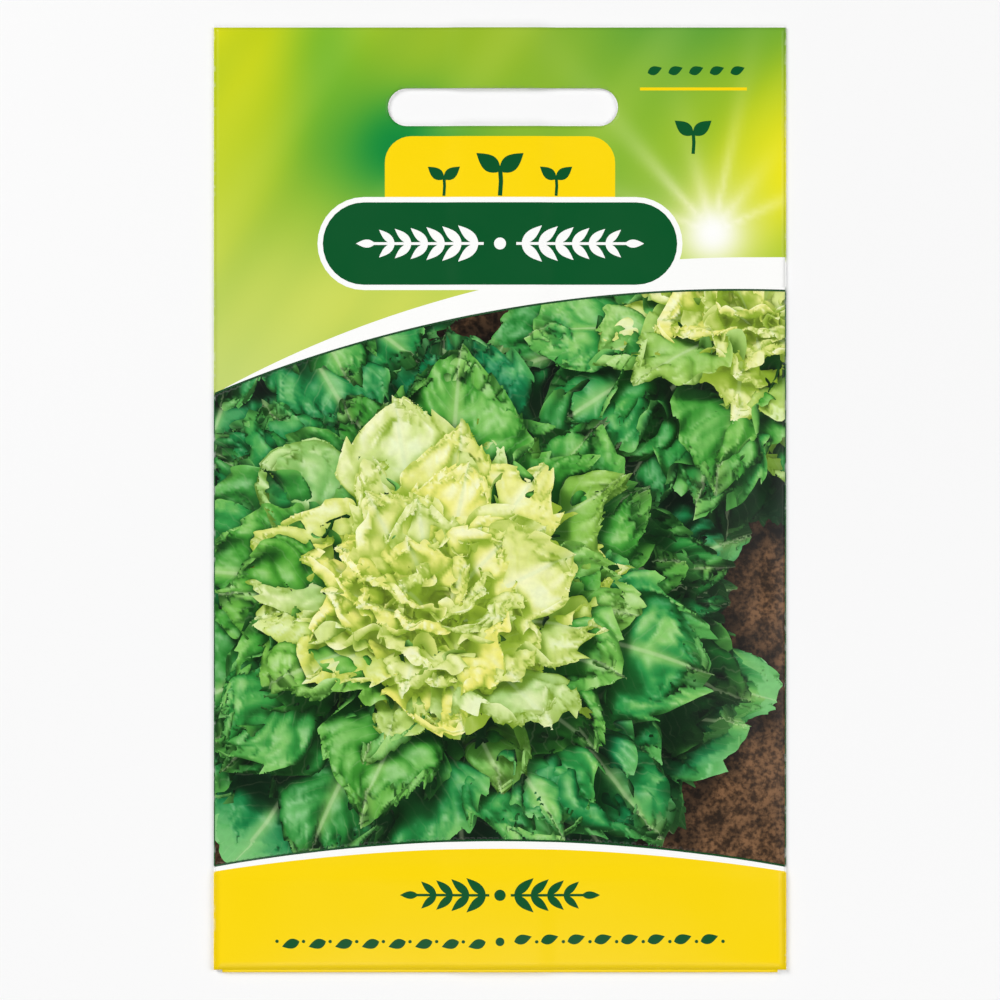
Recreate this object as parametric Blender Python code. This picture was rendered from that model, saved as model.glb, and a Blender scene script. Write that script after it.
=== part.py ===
"""A paper seed packet lying on its back, face up.

One printed sheet is folded into a flat tube with a glued lap down the back, a bottom
flap folded up over the back, and a flat glued header with a long slot for a display
peg. Inside lie a folded foil sachet and the seeds that it holds.

X runs across the packet, Y from its bottom fold to its header, and Z up from the
surface that it lies on. The origin is under the packet's centre.
"""

import math
import random

import bmesh
import bpy

MM = 0.001

# The packet, in millimetres
PACKET_WIDTH = 97.0
PACKET_HEIGHT = 160.0
PAPER_THICKNESS = 0.2
LAYER_GAP = 0.08  # air between two layers that lie on each other
BULGE_HEIGHT = 3.7  # how far the contents lift the front
BULGE_CENTRE_Y = -20.0
BULGE_TOP_Y = 55.0  # the glued header starts here
LAP_HALF_WIDTH = 5.0  # each back panel passes the middle by this much
LAP_FLAT_HALF_WIDTH = 6.0
LAP_FADE_HALF_WIDTH = 10.0  # the layers above the lap are level again here
FLAP_HEIGHT = 15.0
FLAP_CLEAR = 0.5  # the layers above the flap start down this far past its edge
FLAP_FADE = 4.0  # and are level again this far past it
FLAP_FOLD_HALF_WIDTH = 47.0
FLAP_END_HALF_WIDTH = 43.0
FLAP_FOLD_REACH = 0.4  # how far the bottom fold stands out past the flat front
BACK_END_SETBACK = 0.7  # the back panels stop short of the bottom fold

# The hanging slot, in millimetres
SLOT_LENGTH = 39.0
SLOT_WIDTH = 6.4
SLOT_CENTRE_X = 0.5
SLOT_FROM_TOP = 13.5
SLOT_PUNCH_HALF_HEIGHT = 5.0
SLOT_ROW_MARGIN = 2.0  # the sheet has a row of points this far above and below the slot

# The sachet, in millimetres
SACHET_WIDTH = 62.0
SACHET_BOTTOM_Y = -60.0
SACHET_TOP_Y = 20.0
FOIL_THICKNESS = 0.15
FOIL_GAP = 0.1
SEAL_WIDTH = 5.0
SACHET_BULGE_HEIGHT = 2.5
SACHET_BULGE_CENTRE_Y = -28.0

# The seeds, in millimetres
SEED_LENGTH = 3.2
SEED_WIDTH = 1.45
SEED_HALF_RISE = 0.61
SEED_SIDES = 5
SEED_STATIONS = ((-0.5, 0.34), (0.1, 1.0), (0.5, 0.72))  # place along it, share of its width
TOP_SEEDS = 130
TOP_SEED_TILT = 0.05
UNDER_SEEDS = 40
UNDER_SEED_TILT = 0.04
UNDER_SEED_SPREAD = 0.86
HEAP_HALF_WIDTH = 14.5
HEAP_HALF_LENGTH = 16.5
HEAP_FILL = 0.94  # share of the heap's reach that seeds' middles take
HEAP_EDGE_POWER = 2.2
CORE_INSET = 1.2  # the packed core stops this far inside the heap's edge
CORE_ABOVE_FLOOR = 0.45
CORE_BELOW_CEILING = 0.8
CLEARANCE = 0.32  # air between pieces that lie on each other
TILT_ROOM = 0.1  # more air above and below a grain, for its tilted ends

# How finely things are divided
COLUMN_PLACES = (0.0, 3.0, 6.0, 8.0, 10.0, 15.0, 22.0, 29.0, 36.0, 42.0)  # from the middle out
BOTTOM_ROW_PLACES = (-77.0, -73.0, -69.0)
BELLY_ROWS_START_Y = -54.0
BELLY_ROWS = 13
FLAP_ROWS = 4
FOLD_STEPS = 4
SLOT_ARC_STEPS = 8
SACHET_COLUMNS = 12
SACHET_ROWS = 14
CORE_SUBDIVISIONS = 2

# Levels of the layers' middles above the surface, and where the panels end
PITCH = PAPER_THICKNESS + LAYER_GAP
BOTTOM_LEVEL = PAPER_THICKNESS / 2
FOLD_RADIUS = PITCH / 2
PANEL_EDGE_X = PACKET_WIDTH / 2 - FOLD_RADIUS - PAPER_THICKNESS / 2
BOTTOM_Y = -PACKET_HEIGHT / 2
TOP_Y = PACKET_HEIGHT / 2
FRONT_BOTTOM_Y = BOTTOM_Y + FLAP_FOLD_REACH + PAPER_THICKNESS / 2
FLAP_TOP_Y = BOTTOM_Y + FLAP_HEIGHT
SLOT_CENTRE_Y = TOP_Y - SLOT_FROM_TOP
SLOT_ROW_REACH = SLOT_WIDTH / 2 + SLOT_ROW_MARGIN
SACHET_BASE = BOTTOM_LEVEL + PITCH + PAPER_THICKNESS / 2 + CLEARANCE
SACHET_BACK_LEVEL = SACHET_BASE + FOIL_THICKNESS / 2
SACHET_FRONT_LEVEL = SACHET_BACK_LEVEL + FOIL_THICKNESS + FOIL_GAP

# Colours as red, green and blue
PAPER_COLOUR = (0.45, 0.60, 0.08)
FOIL_COLOUR = (0.78, 0.79, 0.80)
SEED_COLOUR = (0.52, 0.42, 0.28)


def clear_scene():
    """Removes what the file starts with."""
    for obj in list(bpy.data.objects):
        bpy.data.objects.remove(obj)


def material(name, colour, roughness, metallic):
    """A Principled material with the piece's colour and gloss."""
    made = bpy.data.materials.new(name)
    made.use_nodes = True
    shader = made.node_tree.nodes["Principled BSDF"]
    shader.inputs["Base Color"].default_value = (*colour, 1.0)
    shader.inputs["Roughness"].default_value = roughness
    shader.inputs["Metallic"].default_value = metallic
    return made


def ease(value, start, end):
    """0 at start and 1 at end, with level ends."""
    t = min(1.0, max(0.0, (value - start) / (end - start)))
    return t * t * (3 - 2 * t)


def spaced(start, end, count):
    """count + 1 even places from start to end."""
    return [start + (end - start) * i / count for i in range(count + 1)]


def lap_rise(x):
    """Layers above the glued lap: 1 over it, 0 beside it."""
    return 1 - ease(abs(x), LAP_FLAT_HALF_WIDTH, LAP_FADE_HALF_WIDTH)


def flap_rise(y):
    """Layers above the bottom flap: 1 over it, 0 past it."""
    return 1 - ease(y, FLAP_TOP_Y + FLAP_CLEAR, FLAP_TOP_Y + FLAP_FADE)


def pillow(distance, reach):
    """1 in the middle and 0 at reach, with a full belly."""
    return max(0.0, 1 - (abs(distance) / reach) ** 4)


def fade_out(distance, reach):
    """1 in the middle and 0 at reach, arriving level."""
    return max(0.0, 1 - (distance / reach) ** 2) ** 2


def belly(x, y, half_width, bottom, centre, top):
    """Share of full height, 0 to 1, of a pouch with its fullest place at centre."""
    if y < centre:
        along = pillow(y - centre, centre - bottom)
    elif y < top:
        along = fade_out(y - centre, top - centre)
    else:
        along = 0.0
    return pillow(x, half_width) * along


def front_level(x, y):
    """Height of the front panel's middle."""
    lift = belly(x, y, PANEL_EDGE_X, FRONT_BOTTOM_Y, BULGE_CENTRE_Y, BULGE_TOP_Y)
    return BOTTOM_LEVEL + PITCH * (1 + lap_rise(x) + flap_rise(y)) + BULGE_HEIGHT * lift


def left_back_level(y):
    """Height of the outer back panel's middle."""
    return BOTTOM_LEVEL + PITCH * flap_rise(y)


def right_back_level(x, y):
    """Height of the back panel that lies under the lap."""
    over_lap = 1.0 if x < 0 else lap_rise(x)
    return BOTTOM_LEVEL + PITCH * (flap_rise(y) + over_lap)


def fold_arc(side, y):
    """Points round a side fold, from the front to the back."""
    middle = BOTTOM_LEVEL + PITCH * (0.5 + flap_rise(y))
    points = []
    for step in range(1, FOLD_STEPS):
        angle = math.pi * step / FOLD_STEPS
        x = side * (PANEL_EDGE_X + FOLD_RADIUS * math.sin(angle))
        points.append((x, y, middle + FOLD_RADIUS * math.cos(angle)))
    return points


def panel_columns():
    """Places across the front, closer at the lap and at the folds."""
    half = [*COLUMN_PLACES, FLAP_FOLD_HALF_WIDTH, PANEL_EDGE_X]
    return [-x for x in reversed(half[1:])] + half


def panel_rows():
    """Places along the packet, closer at the flap and at the header."""
    fade = [FLAP_TOP_Y + FLAP_CLEAR, FLAP_TOP_Y + FLAP_FADE / 2, FLAP_TOP_Y + FLAP_FADE]
    belly_rows = spaced(BELLY_ROWS_START_Y, BULGE_TOP_Y, BELLY_ROWS)
    slot_rows = [SLOT_CENTRE_Y - SLOT_ROW_REACH, SLOT_CENTRE_Y + SLOT_ROW_REACH]
    return [FRONT_BOTTOM_Y, *BOTTOM_ROW_PLACES, *fade, *belly_rows, *slot_rows, TOP_Y]


def back_section(columns, y):
    """Points of the two back panels at one row, each with its free edge past the middle."""
    left_places = [LAP_HALF_WIDTH] + [x for x in reversed(columns) if x < LAP_HALF_WIDTH]
    right_places = [x for x in reversed(columns) if x > -LAP_HALF_WIDTH] + [-LAP_HALF_WIDTH]
    left = [(x, y, left_back_level(y)) for x in left_places]
    right = [(x, y, right_back_level(x, y)) for x in right_places]
    return left, right


def flap_points(columns):
    """Rows of the bottom flap, from the fold to its free edge, for the columns that it has."""
    rows = []
    for step in range(1, FOLD_STEPS + 1):
        angle = math.pi * step / FOLD_STEPS
        y = FRONT_BOTTOM_Y - FLAP_FOLD_REACH * math.sin(angle)
        row = []
        for x in columns:
            top = front_level(x, FRONT_BOTTOM_Y)
            middle = (top + BOTTOM_LEVEL) / 2
            row.append((x, y, middle + (top - middle) * math.cos(angle)))
        rows.append(row)
    for y in spaced(FRONT_BOTTOM_Y, FLAP_TOP_Y, FLAP_ROWS)[1:]:
        share = (y - FRONT_BOTTOM_Y) / (FLAP_TOP_Y - FRONT_BOTTOM_Y)
        narrowing = 1 - share * (1 - FLAP_END_HALF_WIDTH / FLAP_FOLD_HALF_WIDTH)
        rows.append([(x * narrowing, y, BOTTOM_LEVEL) for x in columns])
    return rows


def add_row(mesh, points):
    """New vertices of a bmesh at points in millimetres."""
    return [mesh.verts.new([value * MM for value in point]) for point in points]


def join_rows(mesh, low, high):
    """Faces between two rows of vertices."""
    for i in range(len(low) - 1):
        mesh.faces.new((low[i], low[i + 1], high[i + 1], high[i]))


def mesh_object(name, mesh, collection):
    """An object made from a bmesh, with its faces pointing out."""
    bmesh.ops.recalc_face_normals(mesh, faces=mesh.faces)
    data = bpy.data.meshes.new(name)
    mesh.to_mesh(data)
    mesh.free()
    obj = bpy.data.objects.new(name, data)
    collection.objects.link(obj)
    return obj


def sheet_object(name, mesh, thickness, finish):
    """An object that gives a middle surface its thickness."""
    obj = mesh_object(name, mesh, bpy.context.scene.collection)
    obj.data.materials.append(finish)
    obj.data.shade_smooth()
    solid = obj.modifiers.new("thickness", "SOLIDIFY")
    solid.thickness = thickness * MM
    solid.offset = 0.0
    solid.use_even_offset = True
    return obj


def slot_cutter():
    """The punch that cuts the hanging slot: a long prism with round ends."""
    mesh = bmesh.new()
    radius = SLOT_WIDTH / 2
    reach = SLOT_LENGTH / 2 - radius
    outline = []
    for side in (1, -1):
        for step in range(SLOT_ARC_STEPS + 1):
            angle = -math.pi / 2 + math.pi * step / SLOT_ARC_STEPS
            x = SLOT_CENTRE_X + side * (reach + radius * math.cos(angle))
            y = SLOT_CENTRE_Y + side * radius * math.sin(angle)
            outline.append((x, y, -SLOT_PUNCH_HALF_HEIGHT))
    face = mesh.faces.new(add_row(mesh, outline))
    raised = bmesh.ops.extrude_face_region(mesh, geom=[face])["geom"]
    top = [item for item in raised if isinstance(item, bmesh.types.BMVert)]
    bmesh.ops.translate(mesh, vec=(0, 0, 2 * SLOT_PUNCH_HALF_HEIGHT * MM), verts=top)
    cutter = mesh_object("slot_cutter", mesh, bpy.context.scene.collection)
    cutter.hide_render = True
    cutter.display_type = "WIRE"
    return cutter


def build_envelope(finish):
    """The folded paper sheet with its lap, its flap and its slot."""
    columns = panel_columns()
    mesh = bmesh.new()
    rows = []
    for y in panel_rows():
        left, right = back_section(columns, max(y, BOTTOM_Y + BACK_END_SETBACK))
        left += reversed(fold_arc(-1, y))
        front = [(x, y, front_level(x, y)) for x in columns]
        rows.append(add_row(mesh, left + front + fold_arc(1, y) + right))
        first_front = len(left)
    for low, high in zip(rows, rows[1:]):
        join_rows(mesh, low, high)
    flap_columns = columns[1:-1]
    above = rows[0][first_front + 1:first_front + 1 + len(flap_columns)]
    for points in flap_points(flap_columns):
        below = add_row(mesh, points)
        join_rows(mesh, below, above)
        above = below
    envelope = sheet_object("envelope", mesh, PAPER_THICKNESS, finish)
    punch = envelope.modifiers.new("hanging_slot", "BOOLEAN")
    punch.operation = "DIFFERENCE"
    punch.object = slot_cutter()
    return envelope


def sachet_front_level(x, y):
    """Height of the middle of the sachet's front, which the seeds lift."""
    pouch = SACHET_WIDTH / 2 - SEAL_WIDTH
    lift = belly(x, y, pouch, SACHET_BOTTOM_Y, SACHET_BULGE_CENTRE_Y, SACHET_TOP_Y - SEAL_WIDTH)
    return SACHET_FRONT_LEVEL + SACHET_BULGE_HEIGHT * lift


def build_sachet(finish):
    """The foil sachet: one strip folded at its bottom, its other three edges pressed flat."""
    half = SACHET_WIDTH / 2
    pouch = half - SEAL_WIDTH
    columns = [-half, *spaced(-pouch, pouch, SACHET_COLUMNS), half]
    fold_radius = (SACHET_FRONT_LEVEL - SACHET_BACK_LEVEL) / 2
    middle = (SACHET_FRONT_LEVEL + SACHET_BACK_LEVEL) / 2
    start = SACHET_BOTTOM_Y + fold_radius + FOIL_THICKNESS / 2
    heights = [*spaced(start, SACHET_TOP_Y - SEAL_WIDTH, SACHET_ROWS), SACHET_TOP_Y]
    rows = [[(x, y, sachet_front_level(x, y)) for x in columns] for y in reversed(heights)]
    for step in range(1, FOLD_STEPS):
        angle = math.pi * step / FOLD_STEPS
        y = start - fold_radius * math.sin(angle)
        rows.append([(x, y, middle + fold_radius * math.cos(angle)) for x in columns])
    rows += [[(x, y, SACHET_BACK_LEVEL) for x in columns] for y in spaced(start, SACHET_TOP_Y, 2)]
    mesh = bmesh.new()
    made = [add_row(mesh, points) for points in rows]
    for low, high in zip(made, made[1:]):
        join_rows(mesh, low, high)
    return sheet_object("inner_sachet", mesh, FOIL_THICKNESS, finish)


def seed_object(collection, place, heading, tilt, roll):
    """One seed: a five-sided grain, narrow at its base and blunt at its crown."""
    mesh = bmesh.new()
    rings = []
    for along, share in SEED_STATIONS:
        run = along * SEED_LENGTH
        ring = []
        for corner in range(SEED_SIDES):
            angle = roll + math.tau * corner / SEED_SIDES
            across = SEED_WIDTH / 2 * share * math.cos(angle)
            rise = SEED_HALF_RISE * share * math.sin(angle) + run * tilt
            x = place[0] + run * math.cos(heading) - across * math.sin(heading)
            y = place[1] + run * math.sin(heading) + across * math.cos(heading)
            ring.append((x, y, place[2] + rise))
        rings.append(add_row(mesh, ring))
    for low, high in zip(rings, rings[1:]):
        join_rows(mesh, low + low[:1], high + high[:1])
    mesh.faces.new(rings[0])
    mesh.faces.new(rings[-1])
    mesh_object("seed", mesh, collection)


def heap_share(x, y):
    """1 in the middle of the heap and 0 at its edge."""
    across = abs(x / HEAP_HALF_WIDTH) ** HEAP_EDGE_POWER
    along = abs((y - SACHET_BULGE_CENTRE_Y) / HEAP_HALF_LENGTH) ** HEAP_EDGE_POWER
    return max(0.0, 1 - across - along)


def heap_core(finish):
    """The seeds packed in the middle of the heap, as one low lens that the others stand out of."""
    low = SACHET_BACK_LEVEL + FOIL_THICKNESS / 2 + CLEARANCE + CORE_ABOVE_FLOOR
    crown = SACHET_FRONT_LEVEL + SACHET_BULGE_HEIGHT
    high = crown - FOIL_THICKNESS / 2 - CLEARANCE - CORE_BELOW_CEILING
    mesh = bmesh.new()
    bmesh.ops.create_icosphere(mesh, subdivisions=CORE_SUBDIVISIONS, radius=1.0)
    for vertex in mesh.verts:
        x, y, z = vertex.co
        flattened = math.copysign(math.sqrt(abs(z)), z)
        vertex.co = (
            x * (HEAP_HALF_WIDTH - CORE_INSET) * MM,
            (SACHET_BULGE_CENTRE_Y + y * (HEAP_HALF_LENGTH - CORE_INSET)) * MM,
            ((low + high) / 2 + flattened * (high - low) / 2) * MM,
        )
    core = mesh_object("seeds", mesh, bpy.context.scene.collection)
    core.data.materials.append(finish)
    return core


def spiral_places(count, spread):
    """Even places over the heap's oval, by the golden angle."""
    golden = math.pi * (3 - math.sqrt(5))
    for i in range(count):
        reach = math.sqrt((i + 0.5) / count) * spread
        x = reach * math.cos(i * golden) * HEAP_HALF_WIDTH
        yield x, SACHET_BULGE_CENTRE_Y + reach * math.sin(i * golden) * HEAP_HALF_LENGTH


def scatter_seeds(collection):
    """Seeds over the top of the heap's core, and a layer of them under it."""
    draw = random.Random(7)
    half_rise = SEED_HALF_RISE + TILT_ROOM
    lowest = SACHET_BACK_LEVEL + FOIL_THICKNESS / 2 + CLEARANCE + half_rise
    for x, y in spiral_places(TOP_SEEDS, HEAP_FILL):
        ceiling = sachet_front_level(x, y) - FOIL_THICKNESS / 2 - CLEARANCE
        room = ceiling - half_rise - lowest
        place = (x, y, lowest + room * math.sqrt(heap_share(x, y)))
        tilt = draw.uniform(-TOP_SEED_TILT, TOP_SEED_TILT)
        seed_object(collection, place, draw.uniform(0, math.tau), tilt, draw.uniform(0, math.tau))
    for x, y in spiral_places(UNDER_SEEDS, HEAP_FILL * UNDER_SEED_SPREAD):
        tilt = draw.uniform(-UNDER_SEED_TILT, UNDER_SEED_TILT)
        place = (x, y, lowest)
        seed_object(collection, place, draw.uniform(0, math.tau), tilt, draw.uniform(0, math.tau))


def build_seeds(finish):
    """The seeds in the sachet, fused where they touch."""
    loose = bpy.data.collections.new("loose_seeds")
    bpy.context.scene.collection.children.link(loose)
    core = heap_core(finish)
    scatter_seeds(loose)
    union = core.modifiers.new("fuse", "BOOLEAN")
    union.operation = "UNION"
    union.operand_type = "COLLECTION"
    union.solver = "MANIFOLD"
    union.collection = loose
    bpy.context.view_layer.objects.active = core
    bpy.ops.object.modifier_apply(modifier=union.name)
    for seed in list(loose.objects):
        bpy.data.objects.remove(seed)
    bpy.data.collections.remove(loose)
    return core


def main():
    """Builds the packet, its sachet and its seeds."""
    clear_scene()
    build_envelope(material("printed_paper", PAPER_COLOUR, 0.4, 0.0))
    build_sachet(material("foil", FOIL_COLOUR, 0.35, 0.6))
    build_seeds(material("seed_coat", SEED_COLOUR, 0.7, 0.0))


main()
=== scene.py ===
"""The looks of a paper seed packet that lies on its back, seen from straight above.

The packet is one folded sheet with a printed face. Lengths are in millimetres, in the
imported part's own frame: X across the face, Y from the bottom fold to the header, Z up.
The picture on the face is drawn from leaves that are modelled here, seen from one side
of their bed, and laid into the print as coloured faces with true leaf edges.
"""

import logging
import math
from dataclasses import dataclass
from enum import Enum
from typing import Callable, Iterable, Sequence

import bpy
import numpy as np
from mathutils.bvhtree import BVHTree
from mathutils.geometry import delaunay_2d_cdt, interpolate_bezier
from mathutils.kdtree import KDTree
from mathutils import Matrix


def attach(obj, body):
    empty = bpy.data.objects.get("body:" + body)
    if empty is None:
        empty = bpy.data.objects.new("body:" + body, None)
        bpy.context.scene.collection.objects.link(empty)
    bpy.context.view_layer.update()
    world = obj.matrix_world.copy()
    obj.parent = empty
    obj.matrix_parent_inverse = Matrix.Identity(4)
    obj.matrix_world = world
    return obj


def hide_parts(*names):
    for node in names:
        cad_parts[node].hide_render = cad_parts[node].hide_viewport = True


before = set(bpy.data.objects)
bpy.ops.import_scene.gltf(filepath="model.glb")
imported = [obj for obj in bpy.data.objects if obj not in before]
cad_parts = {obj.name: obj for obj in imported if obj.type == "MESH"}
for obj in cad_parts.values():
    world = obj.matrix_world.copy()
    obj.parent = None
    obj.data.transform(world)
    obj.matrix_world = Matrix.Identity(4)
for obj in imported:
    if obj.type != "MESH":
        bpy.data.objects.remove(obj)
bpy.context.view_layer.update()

MM = 0.001
BODY = "root"
CORNER_STEPS = 8
LEAF_STEPS = 12
LOG = logging.getLogger("seed_packet")

Array = np.ndarray
Object = bpy.types.Object
Material = bpy.types.Material
Socket = bpy.types.NodeSocket
Outline = Array
Grid = dict[str, Array]
Shade = tuple[int, int, int]
Paint = tuple[float, float, float, float]


def ease(value: Array, start: float, end: float) -> Array:
    """0 at start and 1 at end, with level ends."""
    share = np.clip((value - start) / (end - start), 0.0, 1.0)
    return share * share * (3.0 - 2.0 * share)


def pillow(distance: Array, reach: float) -> Array:
    """1 in the middle and 0 at reach, with a full belly."""
    return np.maximum(0.0, 1.0 - (np.abs(distance) / reach) ** 4)


def linear(colour: Array) -> Array:
    """Screen colours, 0 to 1, as the linear ones that a shader takes."""
    colour = np.clip(colour, 0.0, 1.0)
    return np.where(colour <= 0.04045, colour / 12.92, ((colour + 0.055) / 1.055) ** 2.4)


def screen(red: int, green: int, blue: int) -> Array:
    """A screen colour given as 0 to 255, as an array of 0 to 1."""
    return np.array([red, green, blue]) / 255.0


def blend(share: Array, first: Array, second: Array) -> Array:
    """Colours that run from first to second as share goes from 0 to 1."""
    share = np.clip(share, 0.0, 1.0)[..., None]
    return first * (1.0 - share) + second * share


def turned(first: Array, second: Array) -> Array:
    """Twice the area between pairs of flat arrows, above 0 where the second is to the left."""
    return first[:, 0] * second[:, 1] - first[:, 1] * second[:, 0]


def crossed(xs: Array, ys: Array) -> Array:
    """Every pair of a place across and a place along, one row each."""
    return np.stack(np.meshgrid(xs, ys), axis=-1).reshape(-1, 2)


@dataclass(frozen=True)
class PacketForm:
    """Sizes of the folded packet, and the levels of its layers above the surface."""

    width: float = 97.0
    height: float = 160.0
    layer: float = 0.2
    gap: float = 0.08
    bulge: float = 3.7
    bulge_centre_y: float = -20.0
    bulge_top_y: float = 55.0
    loose_inset: float = 5.0
    loose_foot: tuple[float, float] = (-78.0, -66.0)
    loose_head: tuple[float, float] = (40.0, 56.0)
    pucker_depth: float = 0.16
    pucker_inset: float = 6.0
    pucker_width: float = 7.0
    ghost_height: float = 0.07
    ghost_width: float = 2.6
    sag_depth: float = 0.09
    lap_half_width: float = 5.0
    lap_flat: float = 6.0
    lap_fade: float = 10.0
    flap_height: float = 15.0
    flap_clear: float = 0.5
    flap_fade: float = 4.0
    flap_fold_half_width: float = 47.0
    flap_end_half_width: float = 43.0
    flap_fold_reach: float = 0.4
    back_end_setback: float = 0.7
    slot_length: float = 39.0
    slot_width: float = 6.4
    slot_centre_x: float = 0.5
    slot_from_top: float = 13.5
    slot_steps: int = 14
    sachet_half_width: float = 31.0
    sachet_bottom_y: float = -60.0
    sachet_top_y: float = 20.0

    @property
    def pitch(self) -> float:
        """From the middle of one layer to the next."""
        return self.layer + self.gap

    @property
    def bottom_level(self) -> float:
        """Middle of the lowest layer."""
        return self.layer / 2

    @property
    def fold_radius(self) -> float:
        """Radius of the side folds, at the paper's middle."""
        return self.pitch / 2

    @property
    def edge_x(self) -> float:
        """Where the flat panels end and the side folds start."""
        return self.width / 2 - self.fold_radius - self.layer / 2

    @property
    def top_y(self) -> float:
        """The header's cut edge."""
        return self.height / 2

    @property
    def front_bottom_y(self) -> float:
        """Where the front panel ends and the bottom fold starts."""
        return self.layer / 2 + self.flap_fold_reach - self.height / 2

    @property
    def flap_top_y(self) -> float:
        """The free edge of the bottom flap."""
        return self.flap_height - self.height / 2

    def lap_rise(self, x: Array) -> Array:
        """Layers above the glued lap: 1 over it, 0 beside it."""
        return 1.0 - ease(np.abs(x), self.lap_flat, self.lap_fade)

    def flap_rise(self, y: Array) -> Array:
        """Layers above the bottom flap: 1 over it, 0 past it."""
        return 1.0 - ease(y, self.flap_top_y + self.flap_clear, self.flap_top_y + self.flap_fade)

    def belly(self, x: Array, y: Array) -> Array:
        """How far the contents lift the front.

        Args:
            x: places across the face.
            y: places along the face.

        Returns:
            Heights, highest over the filled lower half.
        """
        offset = y - self.bulge_centre_y
        below = pillow(offset, self.bulge_centre_y - self.front_bottom_y)
        reach = self.bulge_top_y - self.bulge_centre_y
        above = np.clip(1.0 - (offset / reach) ** 2, 0.0, 1.0) ** 2
        along = np.where(offset < 0, below, np.where(offset < reach, above, 0.0))
        return self.bulge * pillow(x, self.edge_x) * along

    def dents(self, x: Array, y: Array) -> Array:
        """Small waves of the filled paper, none of them on a fold or on the glued header.

        Args:
            x: places across the face.
            y: places along the face.

        Returns:
            Heights to add to the front panel, about a quarter of a millimetre at most.
        """
        inset = self.edge_x - np.abs(x)
        loose = ease(inset, 0.0, self.loose_inset) * ease(y, *self.loose_foot)
        loose = loose * (1.0 - ease(y, *self.loose_head))
        ripple = 0.5 + 0.5 * np.sin(0.31 * y + 1.3 * np.sin(0.05 * y) + np.sign(x))
        beside = (inset - self.pucker_inset) / self.pucker_width
        puckers = -self.pucker_depth * ripple * np.exp(-beside ** 2)
        across = np.abs(x) - self.sachet_half_width
        middle = (self.sachet_bottom_y + self.sachet_top_y) / 2
        along = np.abs(y - middle) - (self.sachet_top_y - self.sachet_bottom_y) / 2
        ghost = self.ghost_height * np.exp(-(np.maximum(across, along) / self.ghost_width) ** 2)
        sag = -self.sag_depth * (1.0 + np.sin(0.052 * x + 0.4) * np.sin(0.043 * y + 1.0))
        return loose * (puckers + ghost + sag)

    def front(self, x: Array, y: Array) -> Array:
        """Height of the front panel's middle."""
        layers = 1.0 + self.lap_rise(x) + self.flap_rise(y)
        return self.bottom_level + self.pitch * layers + self.belly(x, y) + self.dents(x, y)

    def left_back(self, x: Array, y: Array) -> Array:
        """Height of the middle of the back panel that ends in the visible lap."""
        return self.bottom_level + self.pitch * self.flap_rise(y) + 0.0 * x

    def right_back(self, x: Array, y: Array) -> Array:
        """Height of the middle of the back panel that lies under the lap."""
        over_lap = np.where(x < 0, 1.0, self.lap_rise(x))
        return self.bottom_level + self.pitch * (self.flap_rise(y) + over_lap)

    def flap(self, x: Array, y: Array) -> Array:
        """Height of the middle of the bottom flap."""
        return self.bottom_level + 0.0 * (x + y)

    def slot_outline(self, inset: float = 0.0) -> Outline:
        """The hanging slot's outline, with round ends.

        Args:
            inset: how much narrower than the punched slot.

        Returns:
            Points round the slot, one row each.
        """
        radius = self.slot_width / 2 - inset
        reach = self.slot_length / 2 - self.slot_width / 2
        turn = -math.pi / 2 + math.pi * np.arange(self.slot_steps + 1) / self.slot_steps
        right = np.stack([reach + radius * np.cos(turn), radius * np.sin(turn)], axis=1)
        return np.concatenate([right, -right]) + [self.slot_centre_x, self.top_y - self.slot_from_top]


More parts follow.
